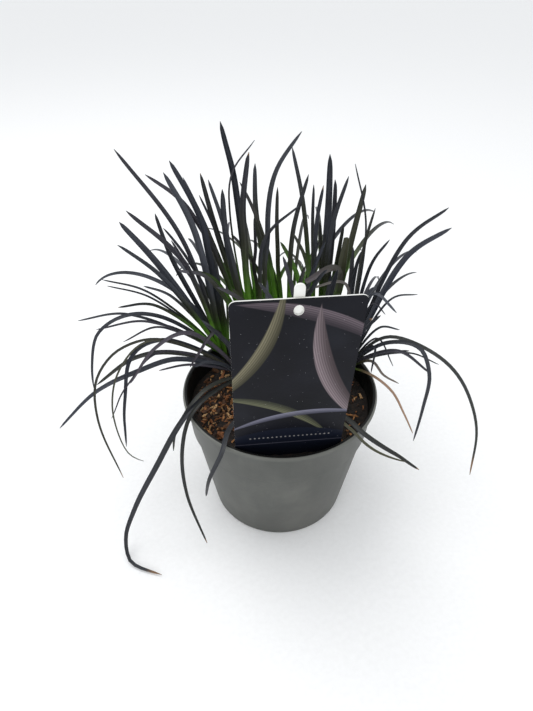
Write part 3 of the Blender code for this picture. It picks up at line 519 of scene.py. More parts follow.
ink = add_node(tree, "TexNoise", {"Vector": uv, "Scale": 0.03, "Detail": 2.0})
picture = add_node(tree, "ValToRGB", [ink], stops=[(0.3, "#090a10"), (0.55, "#101119"), (0.75, "#1b1d25")])
for middle, angle, half_length, half_width, bend, colour, pale in [
    ((47.0, 118.0), -24.0, 46.0, 4.6, 0.004, "#332d34", "#7d7078"),
    ((13.0, 92.0), 62.0, 50.0, 4.2, -0.005, "#3c3a2c", "#938d74"),
    ((52.0, 74.0), 112.0, 54.0, 5.6, 0.004, "#453b3e", "#a3949a"),
    ((26.0, 52.0), 150.0, 40.0, 3.4, -0.006, "#2f3127", "#7c7d62"),
    ((34.0, 46.0), 8.0, 44.0, 2.6, 0.005, "#3e3e4c", "#9696aa"),
]:
    cover, bowed = petal(middle, angle, half_length, half_width, bend)
    lines = bowed
    for operation, *values in [("MULTIPLY", 5.2), ("SINE",), ("MULTIPLY_ADD", 0.225, 0.575)]:
        lines = add_node(tree, "Math", [lines, *values], operation=operation)
    lit = add_node(tree, "MapRange", [bowed, -0.9 * half_width, 0.9 * half_width], **smooth)
    share = add_node(tree, "Math", [lines, lit], operation="MULTIPLY")
    shaded = add_node(tree, "MixRGB", [share, linear(colour), linear(pale)])
    picture = add_node(tree, "MixRGB", [cover, picture, shaded])

# The panel's arched top edge, the row of round beads on it, the trim line and the dust specks.
BEAD_PITCH, BEAD_ROW = 2.6, 24.5
off_middle = add_node(tree, "Math", [across, 32.0], operation="SUBTRACT")
arch = add_node(tree, "Math", [off_middle, off_middle], operation="MULTIPLY")
arch = add_node(tree, "Math", [arch, 0.006, up], operation="MULTIPLY_ADD")
panel = add_node(tree, "MapRange", [arch, 33.0, 32.4], **smooth)
bead_x = across
for operation, value in [("DIVIDE", BEAD_PITCH), ("FRACT", 0.0), ("SUBTRACT", 0.5), ("MULTIPLY", BEAD_PITCH)]:
    bead_x = add_node(tree, "Math", [bead_x, value], operation=operation)
bead_y = add_node(tree, "Math", [up, BEAD_ROW], operation="SUBTRACT")
round_off = add_node(tree, "Math", [bead_x, bead_x], operation="MULTIPLY")
round_off = add_node(tree, "Math", [bead_y, bead_y, round_off], operation="MULTIPLY_ADD")
bead = add_node(tree, "MapRange", [round_off, 0.42, 0.22], **smooth)
beads = add_node(tree, "Math", [bead, band(across, 8.0, 56.5, 0.2)], operation="MULTIPLY")
trim = add_node(tree, "Math", [band(up, 18.2, 19.1, 0.3), 0.8], operation="MULTIPLY")
specks = add_node(tree, "TexVoronoi", {"Vector": uv, "Scale": 0.55})
speck = add_node(tree, "MapRange", [specks, 0.10, 0.06, 0.0, 0.7], **smooth)
chance = add_node(tree, "TexNoise", {"Vector": uv, "Scale": 0.4, "Detail": 1.0})
chosen = add_node(tree, "MapRange", [chance, 0.5, 0.62], **smooth)
dusty = add_node(tree, "Math", [speck, chosen], operation="MULTIPLY")
for share, colour in [(panel, "#161a26"), (beads, "#8f8d8c"), (trim, "#5b5b68"), (dusty, "#b9b9bf")]:
    picture = add_node(tree, "MixRGB", [share, picture, linear(colour)])
handled = add_node(tree, "TexNoise", {"Vector": uv, "Scale": 0.3, "Detail": 3.0})
waviness = add_node(tree, "Bump", {"Height": handled, "Strength": 0.05, "Distance": 1 * MM})
connect(tree, shader, {
    "Base Color": picture, "Roughness": 0.38, "Specular IOR Level": 0.12, "Normal": waviness})

# The unprinted back and cut edges of the same polypropylene sheet, white and a little soiled.
white_core, tree, shader = new_material("white_polypropylene_sheet")
place = add_node(tree, "TexCoord", out="Object")
soiling = add_node(tree, "TexNoise", {"Vector": place, "Scale": 90.0, "Detail": 5.0})
soiled = add_node(tree, "ValToRGB", [soiling], stops=[(0.35, "#e9e9e6"), (0.7, "#d8d7d1")])
connect(tree, shader, {"Base Color": soiled, "Roughness": 0.45})
card.data.materials.append(printed)
card.data.materials.append(white_core)
for face in card.data.polygons:
    face.material_index = 0 if face.normal.y < -0.9 else 1
card.data.transform(card_frame())
card.data.update()
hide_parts("label_card")
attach(card, "root")

# Label stake: a narrow white strip, stamped from thick polystyrene sheet, that stands behind
# the card. Its round head shows over the card's top edge and through the punched hole.
STAKE_WIDTH, STAKE_RISE, STAKE_LENGTH, STAKE_GAP = 5.2 * MM, 7.2 * MM, 178.0 * MM, 0.3 * MM

bpy.ops.mesh.primitive_cube_add(size=1.0)
stake = bpy.context.object
stake.name = "white_stake"
stake.scale = (STAKE_WIDTH, STAKE_THICKNESS, STAKE_LENGTH)
stake.location = (0, CARD_THICKNESS + STAKE_GAP + STAKE_THICKNESS / 2, STAKE_RISE - STAKE_LENGTH / 2)
bpy.ops.object.transform_apply(location=True, rotation=True, scale=True)
bpy.ops.object.mode_set(mode="EDIT")
select_edges(stake, lambda middle, run: middle.z > 0 and abs(run.y) > 1 * MM)
bpy.ops.mesh.bevel(offset=STAKE_WIDTH / 2 * 0.98, segments=12, affect="EDGES")
select_edges(stake, lambda middle, run: middle.z < STAKE_RISE - STAKE_LENGTH + 1 * MM and abs(run.y) > 1 * MM)
bpy.ops.mesh.bevel(offset=1.9 * MM, segments=1, affect="EDGES")
bpy.ops.object.mode_set(mode="OBJECT")
soften = stake.modifiers.new("soft_edges", "BEVEL")
soften.width = 0.25 * MM
soften.segments = 2
soften.limit_method = "ANGLE"
bpy.ops.object.modifier_apply(modifier=soften.name)
bpy.ops.object.shade_smooth_by_angle(angle=math.radians(40))

# White polystyrene: a plain satin strip with faint soil stains.
stake_white, tree, shader = new_material("white_polystyrene_strip")
place = add_node(tree, "TexCoord", out="Object")
stain = add_node(tree, "TexNoise", {"Vector": place, "Scale": 120.0, "Detail": 4.0})
stained = add_node(tree, "ValToRGB", [stain], stops=[(0.4, "#f1f1ee"), (0.8, "#dedcd4")])
connect(tree, shader, {"Base Color": stained, "Roughness": 0.35})
stake.data.materials.append(stake_white)
stake.data.transform(card_frame())
stake.data.update()
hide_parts("label_stake")
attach(stake, "root")
bpy.ops.object.select_all(action="DESELECT")

# Tufts: ten clumps of near-black strap leaves. Each leaf is grown, keeled along its middle, and
# green where it leaves the crown. The leaves bend clear of each other.
CROWN_RADIUS = 6.5 * MM
LEAF_ROOT_CIRCLE = 4.4 * MM
LEAF_ROOT_DEPTH, LEAF_NECK_RISE = 4.0 * MM, 12.0 * MM
LEAF_SAMPLES, CURVE_STEPS = 36, 16
LEAF_SEGMENT = 19.0 * MM
LEAF_KEEL, LEAF_TIP_WIDTH, LEAF_TIP_KEEL, LEAF_TIP_SHARE = 1.1 * MM, 0.9 * MM, 0.7 * MM, 0.5
LEAF_SEED = 11
FILLED_START, FILLED_SWAY, FILLED_WIDTH, FILLED_FIRMNESS = (80, 88), 0.16, (2.2, 3.8), 0.25
CLEARANCE, OWN_CLEARANCE, CROSSING = 1.5 * MM, 0.2 * MM, 1.0 * MM
PUSH_ROUNDS, PUSHES_A_ROUND, PUSH_REACH, PUSH_LIMIT = 14, 8, 8.5 * MM, 1.5 * MM
CARD_ROOM, RIM_ROOM, SOIL_ROOM, FLOOR_ROOM = 2.0 * MM, 2.2 * MM, 2.5 * MM, 1.1 * MM
STRAP_FOOT, STRAP_SWELL, STRAP_WIDEST_AT, STRAP_NARROWING = 0.42, 0.58, 0.6, 0.4
CARD_GUARD_FOOT, BACK_LEAF_Y = -130 * MM, 45 * MM

# Each listed leaf: its width, then the points it passes through up to its tip, in mm. Each
# filled group: count, heading, spread, shortest, longest, least bend, most bend.
TUFTS = {
    "tuft_left_back": dict(
        crown=(-36, 34),
        leaves=[
            (3.0, (-63, 44, 184), (-99, 52, 238)),
            (4.4, (-51, 52, 192), (-69, 62, 228)),
            (4.3, (-54, 40, 191), (-70, 44, 227)),
            (3.4, (-62, 30, 176), (-91, 26, 211)),
            (4.6, (-79, 40, 167), (-102, 46, 195)),
            (3.3, (-75, 28, 164), (-99, 24, 190)),
            (3.4, (-73, 56, 163), (-83, 66, 192)),
            (2.2, (-55, 24, 167), (-65, 18, 196)),
            (1.6, (-90, 46, 143), (-122, 50, 151)),
            (1.5, (-87, 40, 142), (-116, 40, 152)),
            (2.2, (-76, 52, 136), (-97, 60, 140)),
            (2.2, (-85, 36, 139), (-109, 32, 140)),
            (2.0, (-104, 34, 133), (-134, 22, 136)),
            (3.4, (-79, 34, 130), (-103, 30, 135), (-122, 20, 127), (-126, 6, 109), (-124, -4, 100)),
            (1.6, (-83, 32, 124), (-105, 16, 123)),
            (1.8, (-90, 34, 127), (-125, 26, 126)),
            (3.3, (-43, 10, 135), (-57, -8, 121)),
        ],
        filled=[(3, 115, 50, 90, 125, 15, 60), (4, 125, 40, 110, 150, 90, 140)],
    ),
    "tuft_back_left": dict(
        crown=(-14, 43),
        leaves=[
            (4.3, (-28, 52, 213), (-36, 58, 252)),
            (3.4, (-59, 56, 199), (-86, 66, 218)),
            (3.8, (-43, 58, 187), (-51, 66, 219)),
            (3.0, (-36, 44, 194), (-44, 46, 222)),
            (4.4, (-34, 36, 189), (-35, 36, 220)),
            (4.4, (-23, 40, 202), (-19, 40, 240)),
            (1.3, (-31, 52, 220), (-16, 56, 242)),
            (2.1, (-50, 66, 184), (-64, 78, 212)),
            (2.1, (-43, 54, 187), (-52, 60, 207)),
            (3.0, (-48, 30, 165), (-65, 30, 170)),
            (2.2, (-43, 34, 161), (-55, 34, 167)),
            (3.3, (-9, 38, 186), (-4, 32, 230), (10, 30, 254)),
            (2.8, (-10, 36, 187), (10, 26, 214)),
        ],
        filled=[(3, 95, 60, 80, 120, 10, 50), (5, 105, 35, 120, 165, 100, 150)],
    ),
    "tuft_back": dict(
        crown=(8, 46),
        leaves=[
            (3.8, (-15, 54, 193), (-16, 60, 227)),
            (2.8, (-12, 40, 191), (-25, 44, 221)),
            (3.1, (7, 32, 194), (15, 32, 230)),
            (3.0, (-2, 54, 184), (-2, 60, 212)),
        ],
        filled=[(5, 90, 90, 75, 110, 10, 50), (6, 90, 40, 120, 170, 100, 150)],
    ),
    "tuft_back_right": dict(
        crown=(30, 40),
        leaves=[
            (3.0, (14, 48, 205), (6, 50, 240)),
            (2.6, (21, 56, 190), (21, 62, 213)),
            (3.0, (22, 40, 196), (25, 42, 220)),
            (4.8, (29, 44, 200), (28, 46, 237)),
            (3.8, (34, 54, 189), (34, 60, 217)),
            (3.0, (31, 34, 195), (38, 32, 229)),
            (4.1, (45, 42, 184), (51, 46, 219)),
            (4.8, (39, 30, 175), (40, 28, 193)),
            (4.8, (34, 24, 174), (15, 14, 170)),
            (3.0, (16, 30, 175), (7, 28, 196)),
        ],
        filled=[(3, 85, 60, 75, 110, 10, 50), (5, 75, 35, 120, 165, 100, 150)],
    ),
    "tuft_right": dict(
        crown=(45, 23),
        leaves=[
            (1.3, (53, 40, 194), (43, 44, 232)),
            (2.2, (52, 34, 182), (56, 34, 209)),
            (2.8, (78, 36, 187), (102, 40, 207)),
            (3.9, (77, 26, 180), (99, 20, 203)),
            (2.4, (60, 44, 165), (72, 52, 180)),
            (3.0, (50, 42, 163), (53, 44, 176)),
            (2.6, (58, 14, 162), (70, 0, 157)),
            (1.5, (73, 26, 151), (89, 26, 154)),
            (1.5, (59, 16, 154), (66, 10, 149)),
            (2.4, (39, 14, 169), (15, 8, 168)),
            (3.0, (71, 20, 124), (95, 6, 125), (114, -10, 115), (124, -32, 93), (122, -48, 64)),
            (3.4, (71, 16, 122), (90, 4, 127), (96, -8, 114), (93, -18, 95), (89, -26, 72)),
            (2.8, (77, 6, 123), (97, -6, 114)),
            (2.1, (61, 2, 106), (74, -8, 100), (82, -16, 88), (89, -22, 75)),
            (2.3, (63, 14, 108), (70, 4, 104), (80, 0, 100)),
            (2.1, (73, 18, 112), (88, 16, 115)),
            (1.8, (69, 30, 125), (83, 30, 123)),
            (1.6, (67, 24, 120), (77, 10, 107)),
            (1.3, (87, 16, 114), (107, 8, 110)),
            (2.3, (62, 8, 125), (60, -1, 110)),
        ],
        filled=[(3, 72, 45, 75, 110, 10, 60), (4, 58, 30, 100, 140, 100, 150)],
    ),
    "tuft_left": dict(
        crown=(-22, 13),
        leaves=[
            (2.1, (-79, 12, 128), (-104, 0, 128), (-116, -16, 117), (-114, -34, 98), (-100, -52, 66)),
            (4.3, (-68, 14, 110), (-96, 2, 108), (-120, -12, 103), (-143, -28, 86)),
            (3.9, (-71, 18, 112), (-97, 10, 114), (-122, -4, 102)),
            (3.4, (-60, 18, 129), (-82, 8, 124), (-98, -8, 107)),
            (3.3, (-77, 18, 123), (-97, 8, 119), (-102, -14, 98), (-101, -32, 73)),
            (1.8, (-60, 10, 108), (-81, 4, 108)),
            (1.6, (-86, 12, 127), (-105, -2, 114), (-109, -20, 95), (-99, -36, 70), (-89, -40, 68)),
            (1.8, (-80, 10, 119), (-100, -8, 105), (-111, -20, 87)),
            (4.3, (-53, -25, 104), (-63, -38, 98), (-78, -46, 72), (-97, -53, 35),
             (-106, -60, 9), (-101, -72, 2), (-79, -81, 1.4)),
            (3.1, (-49, -16, 108), (-66, -38, 92), (-68, -42, 80)),
            (3.0, (-55, -31, 104), (-62, -42, 82), (-61, -52, 50), (-49, -66, 15)),
        ],
        filled=[(4, 235, 70, 60, 100, 20, 90)],
    ),
    "tuft_middle": dict(
        crown=(2, 19),
        leaves=[],
        filled=[(11, 90, 170, 80, 125, 10, 60)],
    ),
    "tuft_middle_right": dict(
        crown=(24, 11),
        leaves=[],
        filled=[(10, 30, 160, 75, 120, 10, 60)],
    ),
    "tuft_front_left": dict(
        crown=(-10, -13),
        leaves=[
            (3.6, (-31, -43, 102), (-35, -63, 101), (-42, -70, 88), (-46, -67, 67)),
        ],
        filled=[(8, 150, 120, 70, 110, 10, 50)],
    ),
    "tuft_front_right": dict(
        crown=(21, -13),
        leaves=[
            (3.6, (40, -37, 104), (50, -50, 103), (66, -57, 95), (84, -58, 81)),
            (2.2, (41, -44, 103), (50, -57, 102), (60, -58, 95), (74, -59, 90)),
        ],
        filled=[(8, 40, 130, 70, 110, 10, 50)],
    ),
}


def smooth_path(points, samples):
    """A centripetal Catmull-Rom curve through points, resampled evenly along its length."""
    points = [np.array(point, float) for point in points]
    ends = [2 * points[0] - points[1]] + points + [2 * points[-1] - points[-2]]
    curve = []
    for p0, p1, p2, p3 in zip(ends, ends[1:], ends[2:], ends[3:]):
        t1 = math.sqrt(np.linalg.norm(p1 - p0))
        t2 = t1 + math.sqrt(np.linalg.norm(p2 - p1))
        t3 = t2 + math.sqrt(np.linalg.norm(p3 - p2))
        for t in np.linspace(t1, t2, CURVE_STEPS, endpoint=False):
            a1 = p0 + (p1 - p0) * t / t1
            a2 = p1 + (p2 - p1) * (t - t1) / (t2 - t1)
            a3 = p2 + (p3 - p2) * (t - t2) / (t3 - t2)
            b1 = a1 + (a2 - a1) * t / t2
            b2 = a2 + (a3 - a2) * (t - t1) / (t3 - t1)
            curve.append(b1 + (b2 - b1) * (t - t1) / (t2 - t1))
    return evenly(np.array(curve + [points[-1]]), samples)


def evenly(curve, samples):
    """The curve's points spaced evenly along its length."""
    steps = np.linalg.norm(np.diff(curve, axis=0), axis=1)
    along = np.concatenate([[0.0], np.cumsum(steps)])
    wanted = np.linspace(0.0, along[-1], samples)
    return np.stack([np.interp(wanted, along, curve[:, axis]) for axis in range(3)], axis=1)


def listed_path(crown, points):
    """A leaf through its listed points, starting steeply from its crown."""
    first = np.array(points[0], float) * MM
    outward = first[:2] - np.array(crown)
    outward = outward / max(np.linalg.norm(outward), 1e-6)
    root = np.array([*(np.array(crown) + outward * LEAF_ROOT_CIRCLE * 0.6), SOIL_Z - LEAF_ROOT_DEPTH])
    neck = np.array([*(np.array(crown) + outward * LEAF_ROOT_CIRCLE * 1.1), SOIL_Z + LEAF_NECK_RISE])
    return smooth_path([root, neck] + [np.array(point, float) * MM for point in points], LEAF_SAMPLES)


def filled_path(crown, heading, length, bend, draw):
    """A leaf that leaves its crown steeply and bends over evenly more towards its tip."""
    start = math.radians(draw.uniform(*FILLED_START))
    out = np.array([math.cos(heading), math.sin(heading), 0.0])
    aside = np.array([-math.sin(heading), math.cos(heading), 0.0]) * draw.uniform(-FILLED_SWAY, FILLED_SWAY)
    point = np.array([crown[0], crown[1], SOIL_Z - LEAF_ROOT_DEPTH]) + out * LEAF_ROOT_CIRCLE * 0.5
    path = [point]
    for i in range(LEAF_SAMPLES - 1):
        along = (i + 0.5) / (LEAF_SAMPLES - 1)
        angle = start - math.radians(bend) * along ** 1.35
        step = out * math.cos(angle) + aside * along + np.array([0, 0, math.sin(angle)])
        point = point + step / np.linalg.norm(step) * length / (LEAF_SAMPLES - 1)
        path.append(point)
    return np.array(path)


def strap(along):
    """A leaf's width along it as a share of its widest: narrow at its foot, broad up to its tip."""
    grown = np.sin(np.minimum(along / STRAP_WIDEST_AT, 1.0) * math.pi / 2) ** 1.3
    past = np.maximum(0.0, (along - STRAP_WIDEST_AT) / 0.4)
    return (STRAP_FOOT + STRAP_SWELL * grown) * (1.0 - STRAP_NARROWING * past ** 2)


def all_leaves():
    """Every leaf of every tuft: its tuft's number, width, firmness and path."""
    draw = random.Random(LEAF_SEED)
    leaves = []
    for number, tuft in enumerate(TUFTS.values()):
        crown = tuple(value * MM for value in tuft["crown"])
        for width, *points in tuft["leaves"]:
            leaves.append((number, width * MM, 1.0, listed_path(crown, points)))
        for count, heading, spread, shortest, longest, least, most in tuft["filled"]:
            for i in range(count):
                share = 2.0 * (i + 0.5) / count - 1.0
                turn = math.radians(heading + spread * share + draw.uniform(-8, 8))
                length = draw.uniform(shortest, longest) * MM
                bend = draw.uniform(least, most)
                width = draw.uniform(*FILLED_WIDTH) * MM
                leaves.append((number, width, FILLED_FIRMNESS, filled_path(crown, turn, length, bend, draw)))
    return leaves


def close_pairs(points, reach):
    """Pairs of points of different leaves that are within reach."""
    tree = kdtree.KDTree(len(points))
    for i, point in enumerate(points):
        tree.insert(point, i)
    tree.balance()
    near = (tree.find_range(point, reach) for point in points)
    pairs = [(i, j) for i, found in enumerate(near) for _, j, _ in found if j > i]
    first, second = np.array(pairs, int).T
    other = first // LEAF_SAMPLES != second // LEAF_SAMPLES
    return first[other], second[other]


def keep_off(points, halves):
    """How far each point has to move to stay off the card, the rim, the wall, the soil and the floor."""
    move = np.zeros_like(points)
    to_card = np.array(card_frame().inverted())
    local = points @ to_card[:3, :3].T + to_card[:3, 3]
    reach = halves + CARD_ROOM
    across, depth, up = local[:, 0], local[:, 1] - STAKE_THICKNESS, local[:, 2]
    hit = (np.abs(across) < CARD_WIDTH / 2 + reach) & (up < reach) & (up > CARD_GUARD_FOOT)
    hit &= np.abs(depth) < reach
    out = np.array(card_frame())[:3, 1]
    move[hit] += out * (reach - depth)[hit][:, None] * 0.5
    radius = np.linalg.norm(points[:, :2], axis=1)
    radial = np.zeros_like(points)
    radial[:, :2] = points[:, :2] / np.maximum(radius, 1e-6)[:, None]
    rim = np.stack([radius - (RIM_RADIUS - 1 * MM), points[:, 2] - (POT_HEIGHT - 1 * MM)], axis=1)
    near = np.linalg.norm(rim, axis=1)
    room = halves + RIM_ROOM
    hit = near < room
    push = rim / np.maximum(near, 1e-6)[:, None] * np.maximum(room - near, 0)[:, None]
    move[hit] += (radial * push[:, :1])[hit]
    move[hit, 2] += np.abs(push[hit, 1]) + 0.2 * MM
    outside = (points[:, 2] < POT_HEIGHT) & (radius > RIM_RADIUS - 2 * MM)
    short = RIM_RADIUS + halves + 1 * MM - radius
    hit = outside & (short > 0)
    move[hit] += (radial * short[:, None])[hit] * 0.5
    inside = radius < RIM_RADIUS - 2 * MM
    low = SOIL_Z + SOIL_CROWN + halves + SOIL_ROOM - points[:, 2]
    hit = inside & (low > 0) & (points[:, 2] > SOIL_Z - 10 * MM)
    move[hit, 2] += low[hit] * 0.5
    move[:, 2] += np.maximum(FLOOR_ROOM - points[:, 2], 0)
    return move


def push_apart(leaves):
    """Bend leaves of different tufts clear of each other and of the pot, roots staying put."""
    count = len(leaves)
    points = np.array([leaf[3] for leaf in leaves]).reshape(-1, 3)
    tufts = np.repeat([leaf[0] for leaf in leaves], LEAF_SAMPLES)
    along = np.tile(np.linspace(0, 1, LEAF_SAMPLES), count)
    widths = np.repeat([leaf[1] for leaf in leaves], LEAF_SAMPLES)
    halves = widths * 0.5 * strap(along)
    weights = np.repeat([leaf[2] for leaf in leaves], LEAF_SAMPLES)
    loose = np.clip((along - 0.06) / 0.2, 0, 1)[:, None]
    for _ in range(PUSH_ROUNDS):
        first, second = close_pairs(points, PUSH_REACH)
        same = tufts[first] == tufts[second]
        kept = ~same | (np.minimum(along[first], along[second]) > 0.3)
        first, second, same = first[kept], second[kept], same[kept]
        clearance = np.where(same, OWN_CLEARANCE, CLEARANCE)
        share = (weights[second] / (weights[first] + weights[second]))[:, None]
        for _ in range(PUSHES_A_ROUND):
            apart = points[first] - points[second]
            distance = np.maximum(np.linalg.norm(apart, axis=1), 1e-6)
            short = halves[first] + halves[second] + clearance - distance
            push = apart / distance[:, None] * np.maximum(short, 0)[:, None]
            move = gather(first, push * share, len(points)) - gather(second, push * (1 - share), len(points))
            move = np.clip(move, -PUSH_LIMIT, PUSH_LIMIT)
            move = blur(move.reshape(count, LEAF_SAMPLES, 3)).reshape(-1, 3)
            points = points + move * loose
            points = points + keep_off(points, halves) * loose
    paths = points.reshape(count, LEAF_SAMPLES, 3)
    return [(leaf[0], leaf[1], leaf[2], evenly(path, LEAF_SAMPLES)) for leaf, path in zip(leaves, paths)]


def gather(places, pushes, size):
    """Add up the pushes that fall on each point."""
    return np.stack([np.bincount(places, pushes[:, axis], size) for axis in range(3)], axis=1)


def blur(move):
    """Spread each push along its leaf, so the leaf stays a smooth curve."""
    kernel = np.array([1, 3, 5, 6, 5, 3, 1], float)
    kernel = kernel / kernel.sum()
    padded = np.pad(move, ((0, 0), (3, 3), (0, 0)), mode="edge")
    blurred = np.zeros_like(move)
    for i, weight in enumerate(kernel):
        blurred += weight * padded[:, i:i + move.shape[1]]
    return blurred * 1.6


def length_of(path):
    """How long a path is."""
    return np.linalg.norm(np.diff(path, axis=0), axis=1).sum()


def facing_of(path, crown):
    """The way a leaf's face looks: to the front, or up and inwards on a leaf that leans far back."""
    outward = Vector((path[-1][0] - crown[0], path[-1][1] - crown[1], 0.0))
    if outward.y < BACK_LEAF_Y:
        return Vector((0.0, -0.6, 0.8))
    return Vector((0, 0, 1)) - outward.normalized() * 0.7


def run_and_side(spine, i, facing):
    """The way a leaf runs at one point of its spine, and the way across it there."""
    run = Vector(spine[min(i + 1, len(spine) - 1)] - spine[max(i - 1, 0)]).normalized()
    return run, run.cross(facing).normalized()


def blade_shape(width, path, crown):
    """A thin keeled strap along a path, plain enough to test whether it touches another."""
    segments = max(5, round(length_of(path) / LEAF_SEGMENT))
    spine = evenly(path, segments + 1)
    facing = facing_of(path, crown)
    shape = bmesh.new()
    rings = []
    for i, point in enumerate(spine):
        along = i / segments
        run, across = run_and_side(spine, i, facing)
        through = run.cross(across).normalized()
        blunt = LEAF_TIP_SHARE if i == segments else 1.0
        half = max(width * strap(along) * blunt, LEAF_TIP_WIDTH) / 2
        keel = LEAF_KEEL + (LEAF_TIP_KEEL - LEAF_KEEL) * along
        centre = Vector(point) - through * keel / 3
        corners = [(half, 0.0), (-half, 0.0), (0.0, keel)]
        rings.append([shape.verts.new(centre + across * a + through * b) for a, b in corners])
    for lower, upper in zip(rings, rings[1:]):
        for i in range(3):
            j = (i + 1) % 3
            shape.faces.new([lower[i], lower[j], upper[j], upper[i]])
    shape.faces.new(rings[0])
    shape.faces.new(rings[-1])
    bmesh.ops.triangulate(shape, faces=shape.faces)
    bmesh.ops.recalc_face_normals(shape, faces=shape.faces)
    return shape


def without_crossings(leaves, crowns):
    """Leave out each filled-in leaf that still touches a leaf of another tuft."""
    kept = []
    for tuft, width, weight, path in sorted(leaves, key=lambda leaf: -leaf[2]):
        shape = blade_shape(width + CROSSING, path, crowns[tuft])
        tree = BVHTree.FromBMesh(shape)
        shape.free()
        touching = any(other != tuft and tree.overlap(placed) for other, _, _, placed in kept)
        if weight < 1.0 and touching:
            continue
        kept.append((tuft, width, path, tree))
    return [leaf[:3] for leaf in kept]


# One blade, flat and one unit long and wide, that every leaf is copied from: a fine grid made
# into a thin sheet. Its map runs across it in U and along it in V.
BLADE_ROWS, BLADE_COLUMNS = 44, 6
EDGE_THICKNESS, RIB_THICKNESS, SHARPEST = 0.28 * MM, 0.32 * MM, 0.25 * MM
BLUNT_FROM, BLUNT_RUN, BROKEN_WIDTH = 0.94, 0.06, 1.25
MOST_TWIST, FOLDS, POINTS = 32, (0.3, 0.85), (0.7, 1.3)
bpy.ops.mesh.primitive_grid_add(x_subdivisions=BLADE_COLUMNS, y_subdivisions=BLADE_ROWS, size=2.0)
blade = bpy.context.object
blade.name = "leaf_blade"
sheet = blade.modifiers.new("sheet", "SOLIDIFY")
sheet.thickness = 1.0
sheet.offset = -1.0
bpy.ops.object.modifier_apply(modifier=sheet.name)
bpy.ops.object.shade_smooth_by_angle(angle=math.radians(50))
rest = np.empty(len(blade.data.vertices) * 3)
blade.data.vertices.foreach_get("co", rest)
rest = rest.reshape(-1, 3)
rest_across, rest_under = rest[:, 0], -rest[:, 2]
rest_row = np.rint((rest[:, 1] + 1) / 2 * BLADE_ROWS).astype(int)


def leaf_from(width, path, crown, draw, broken):
    """A copy of the blade bent along a path, channelled above and keeled below."""
    spine = evenly(path, BLADE_ROWS + 1)
    facing = facing_of(path, crown)
    twist = math.radians(draw.uniform(-MOST_TWIST, MOST_TWIST))
    fold, point = draw.uniform(*FOLDS), draw.uniform(*POINTS)
    droop = min(1.0, (path[:, 2].max() - path[-1][2]) / (0.15 * length_of(path)))
    across, lift, halves = np.empty_like(spine), np.empty_like(spine), np.empty(len(spine))
    for i in range(len(spine)):
        along = i / BLADE_ROWS
        run, side = run_and_side(spine, i, facing)
        side.rotate(Matrix.Rotation(twist * (along - 0.4), 3, run))
        across[i], lift[i] = side, side.cross(run)
        blunt, spread = 1.0, 1.0
        if broken:
            spread = BROKEN_WIDTH
        elif along > BLUNT_FROM:
            blunt = math.sqrt(max(0.0, 1.0 - ((along - BLUNT_FROM) / BLUNT_RUN) ** 2))
        slim = 1.0 - 0.4 * droop * max(0.0, (along - 0.25) / 0.75)
        halves[i] = max(width * strap(along) * slim * spread * blunt ** point, SHARPEST) / 2
    half = halves[rest_row]
    thick = EDGE_THICKNESS + RIB_THICKNESS * (1.0 - np.abs(rest_across)) * (half / (width / 2))
    rise = half * fold * np.abs(rest_across) ** 1.4 - rest_under * thick
    aside = across[rest_row] * (rest_across * half)[:, None]
    points = spine[rest_row] + aside + lift[rest_row] * rise[:, None]
    leaf = blade.copy()
    leaf.data = blade.data.copy()
    bpy.context.scene.collection.objects.link(leaf)
    leaf.data.vertices.foreach_set("co", points.ravel())
    return leaf


# Leaf skin: a waxy satin cuticle over fine parallel veins, near black with a blue-purple cast,
# that turns green low down near the crown. Each leaf mixes in a tint of its own: olive and dry tan
# from age, pale blue-grey and mauve-grey as a painted sheen.
leaf_skin, tree, shader = new_material("waxy_black_leaf")
leaf_map = add_node(tree, "TexCoord", out="UV")
aside, along = (add_node(tree, "SeparateXYZ", [leaf_map], out=axis) for axis in "XY")
look = add_node(tree, "Attribute", attribute_name="leaf_kind")
green_reach, age_and_sheen_tint_share, dry_reach = (
    add_node(tree, "SeparateColor", [look], out=part) for part in ("Red", "Green", "Blue"))
sheath_and_shade_reach = add_node(tree, "Attribute", out="Alpha", attribute_name="leaf_kind")
tint = add_node(tree, "Attribute", attribute_name="leaf_tint")
place = add_node(tree, "TexCoord", out="Object")
mottle = add_node(tree, "TexNoise", {"Vector": place, "Scale": 90.0, "Detail": 4.0})
vein_place = add_node(tree, "Mapping", {"Vector": leaf_map, "Scale": (9.0, 1.5, 1.0)})
veins = add_node(tree, "TexNoise", {"Vector": vein_place, "Scale": 1.6, "Detail": 3.0})
vein_wave = add_node(tree, "Math", [aside, 56.0], operation="MULTIPLY")
vein_wave = add_node(tree, "Math", [vein_wave], operation="SINE")

# How much of each layer shows: pale blue-grey streaks along the veins as a painted sheen, paler
# edges, olive and then green towards the foot, the brown sheath at the foot darkened as painted
# shade, and the dry tip.
painted_sheen_on_veins = add_node(tree, "MapRange", [veins, 0.48, 0.78, 0.0, 0.5], **smooth)
# Paler margins along both edges of each leaf.
edge = add_node(tree, "Math", [aside, 0.5], operation="SUBTRACT")
edge = add_node(tree, "Math", [edge], operation="ABSOLUTE")
paler_margin = add_node(tree, "MapRange", [edge, 0.42, 0.5, 0.0, 0.3], **smooth)
wander = add_node(tree, "Math", [veins, 0.5], operation="SUBTRACT")
wander = add_node(tree, "Math", [wander, 0.16, along], operation="MULTIPLY_ADD")
green_reach = add_node(tree, "Math", [green_reach, 0.001], operation="MAXIMUM")
rise = add_node(tree, "Math", [wander, green_reach], operation="DIVIDE")
olive_share = add_node(tree, "MapRange", [rise, 1.6, 1.05, 0.0, 0.8], **smooth)
green_share = add_node(tree, "MapRange", [rise, 1.15, 0.6], **smooth)
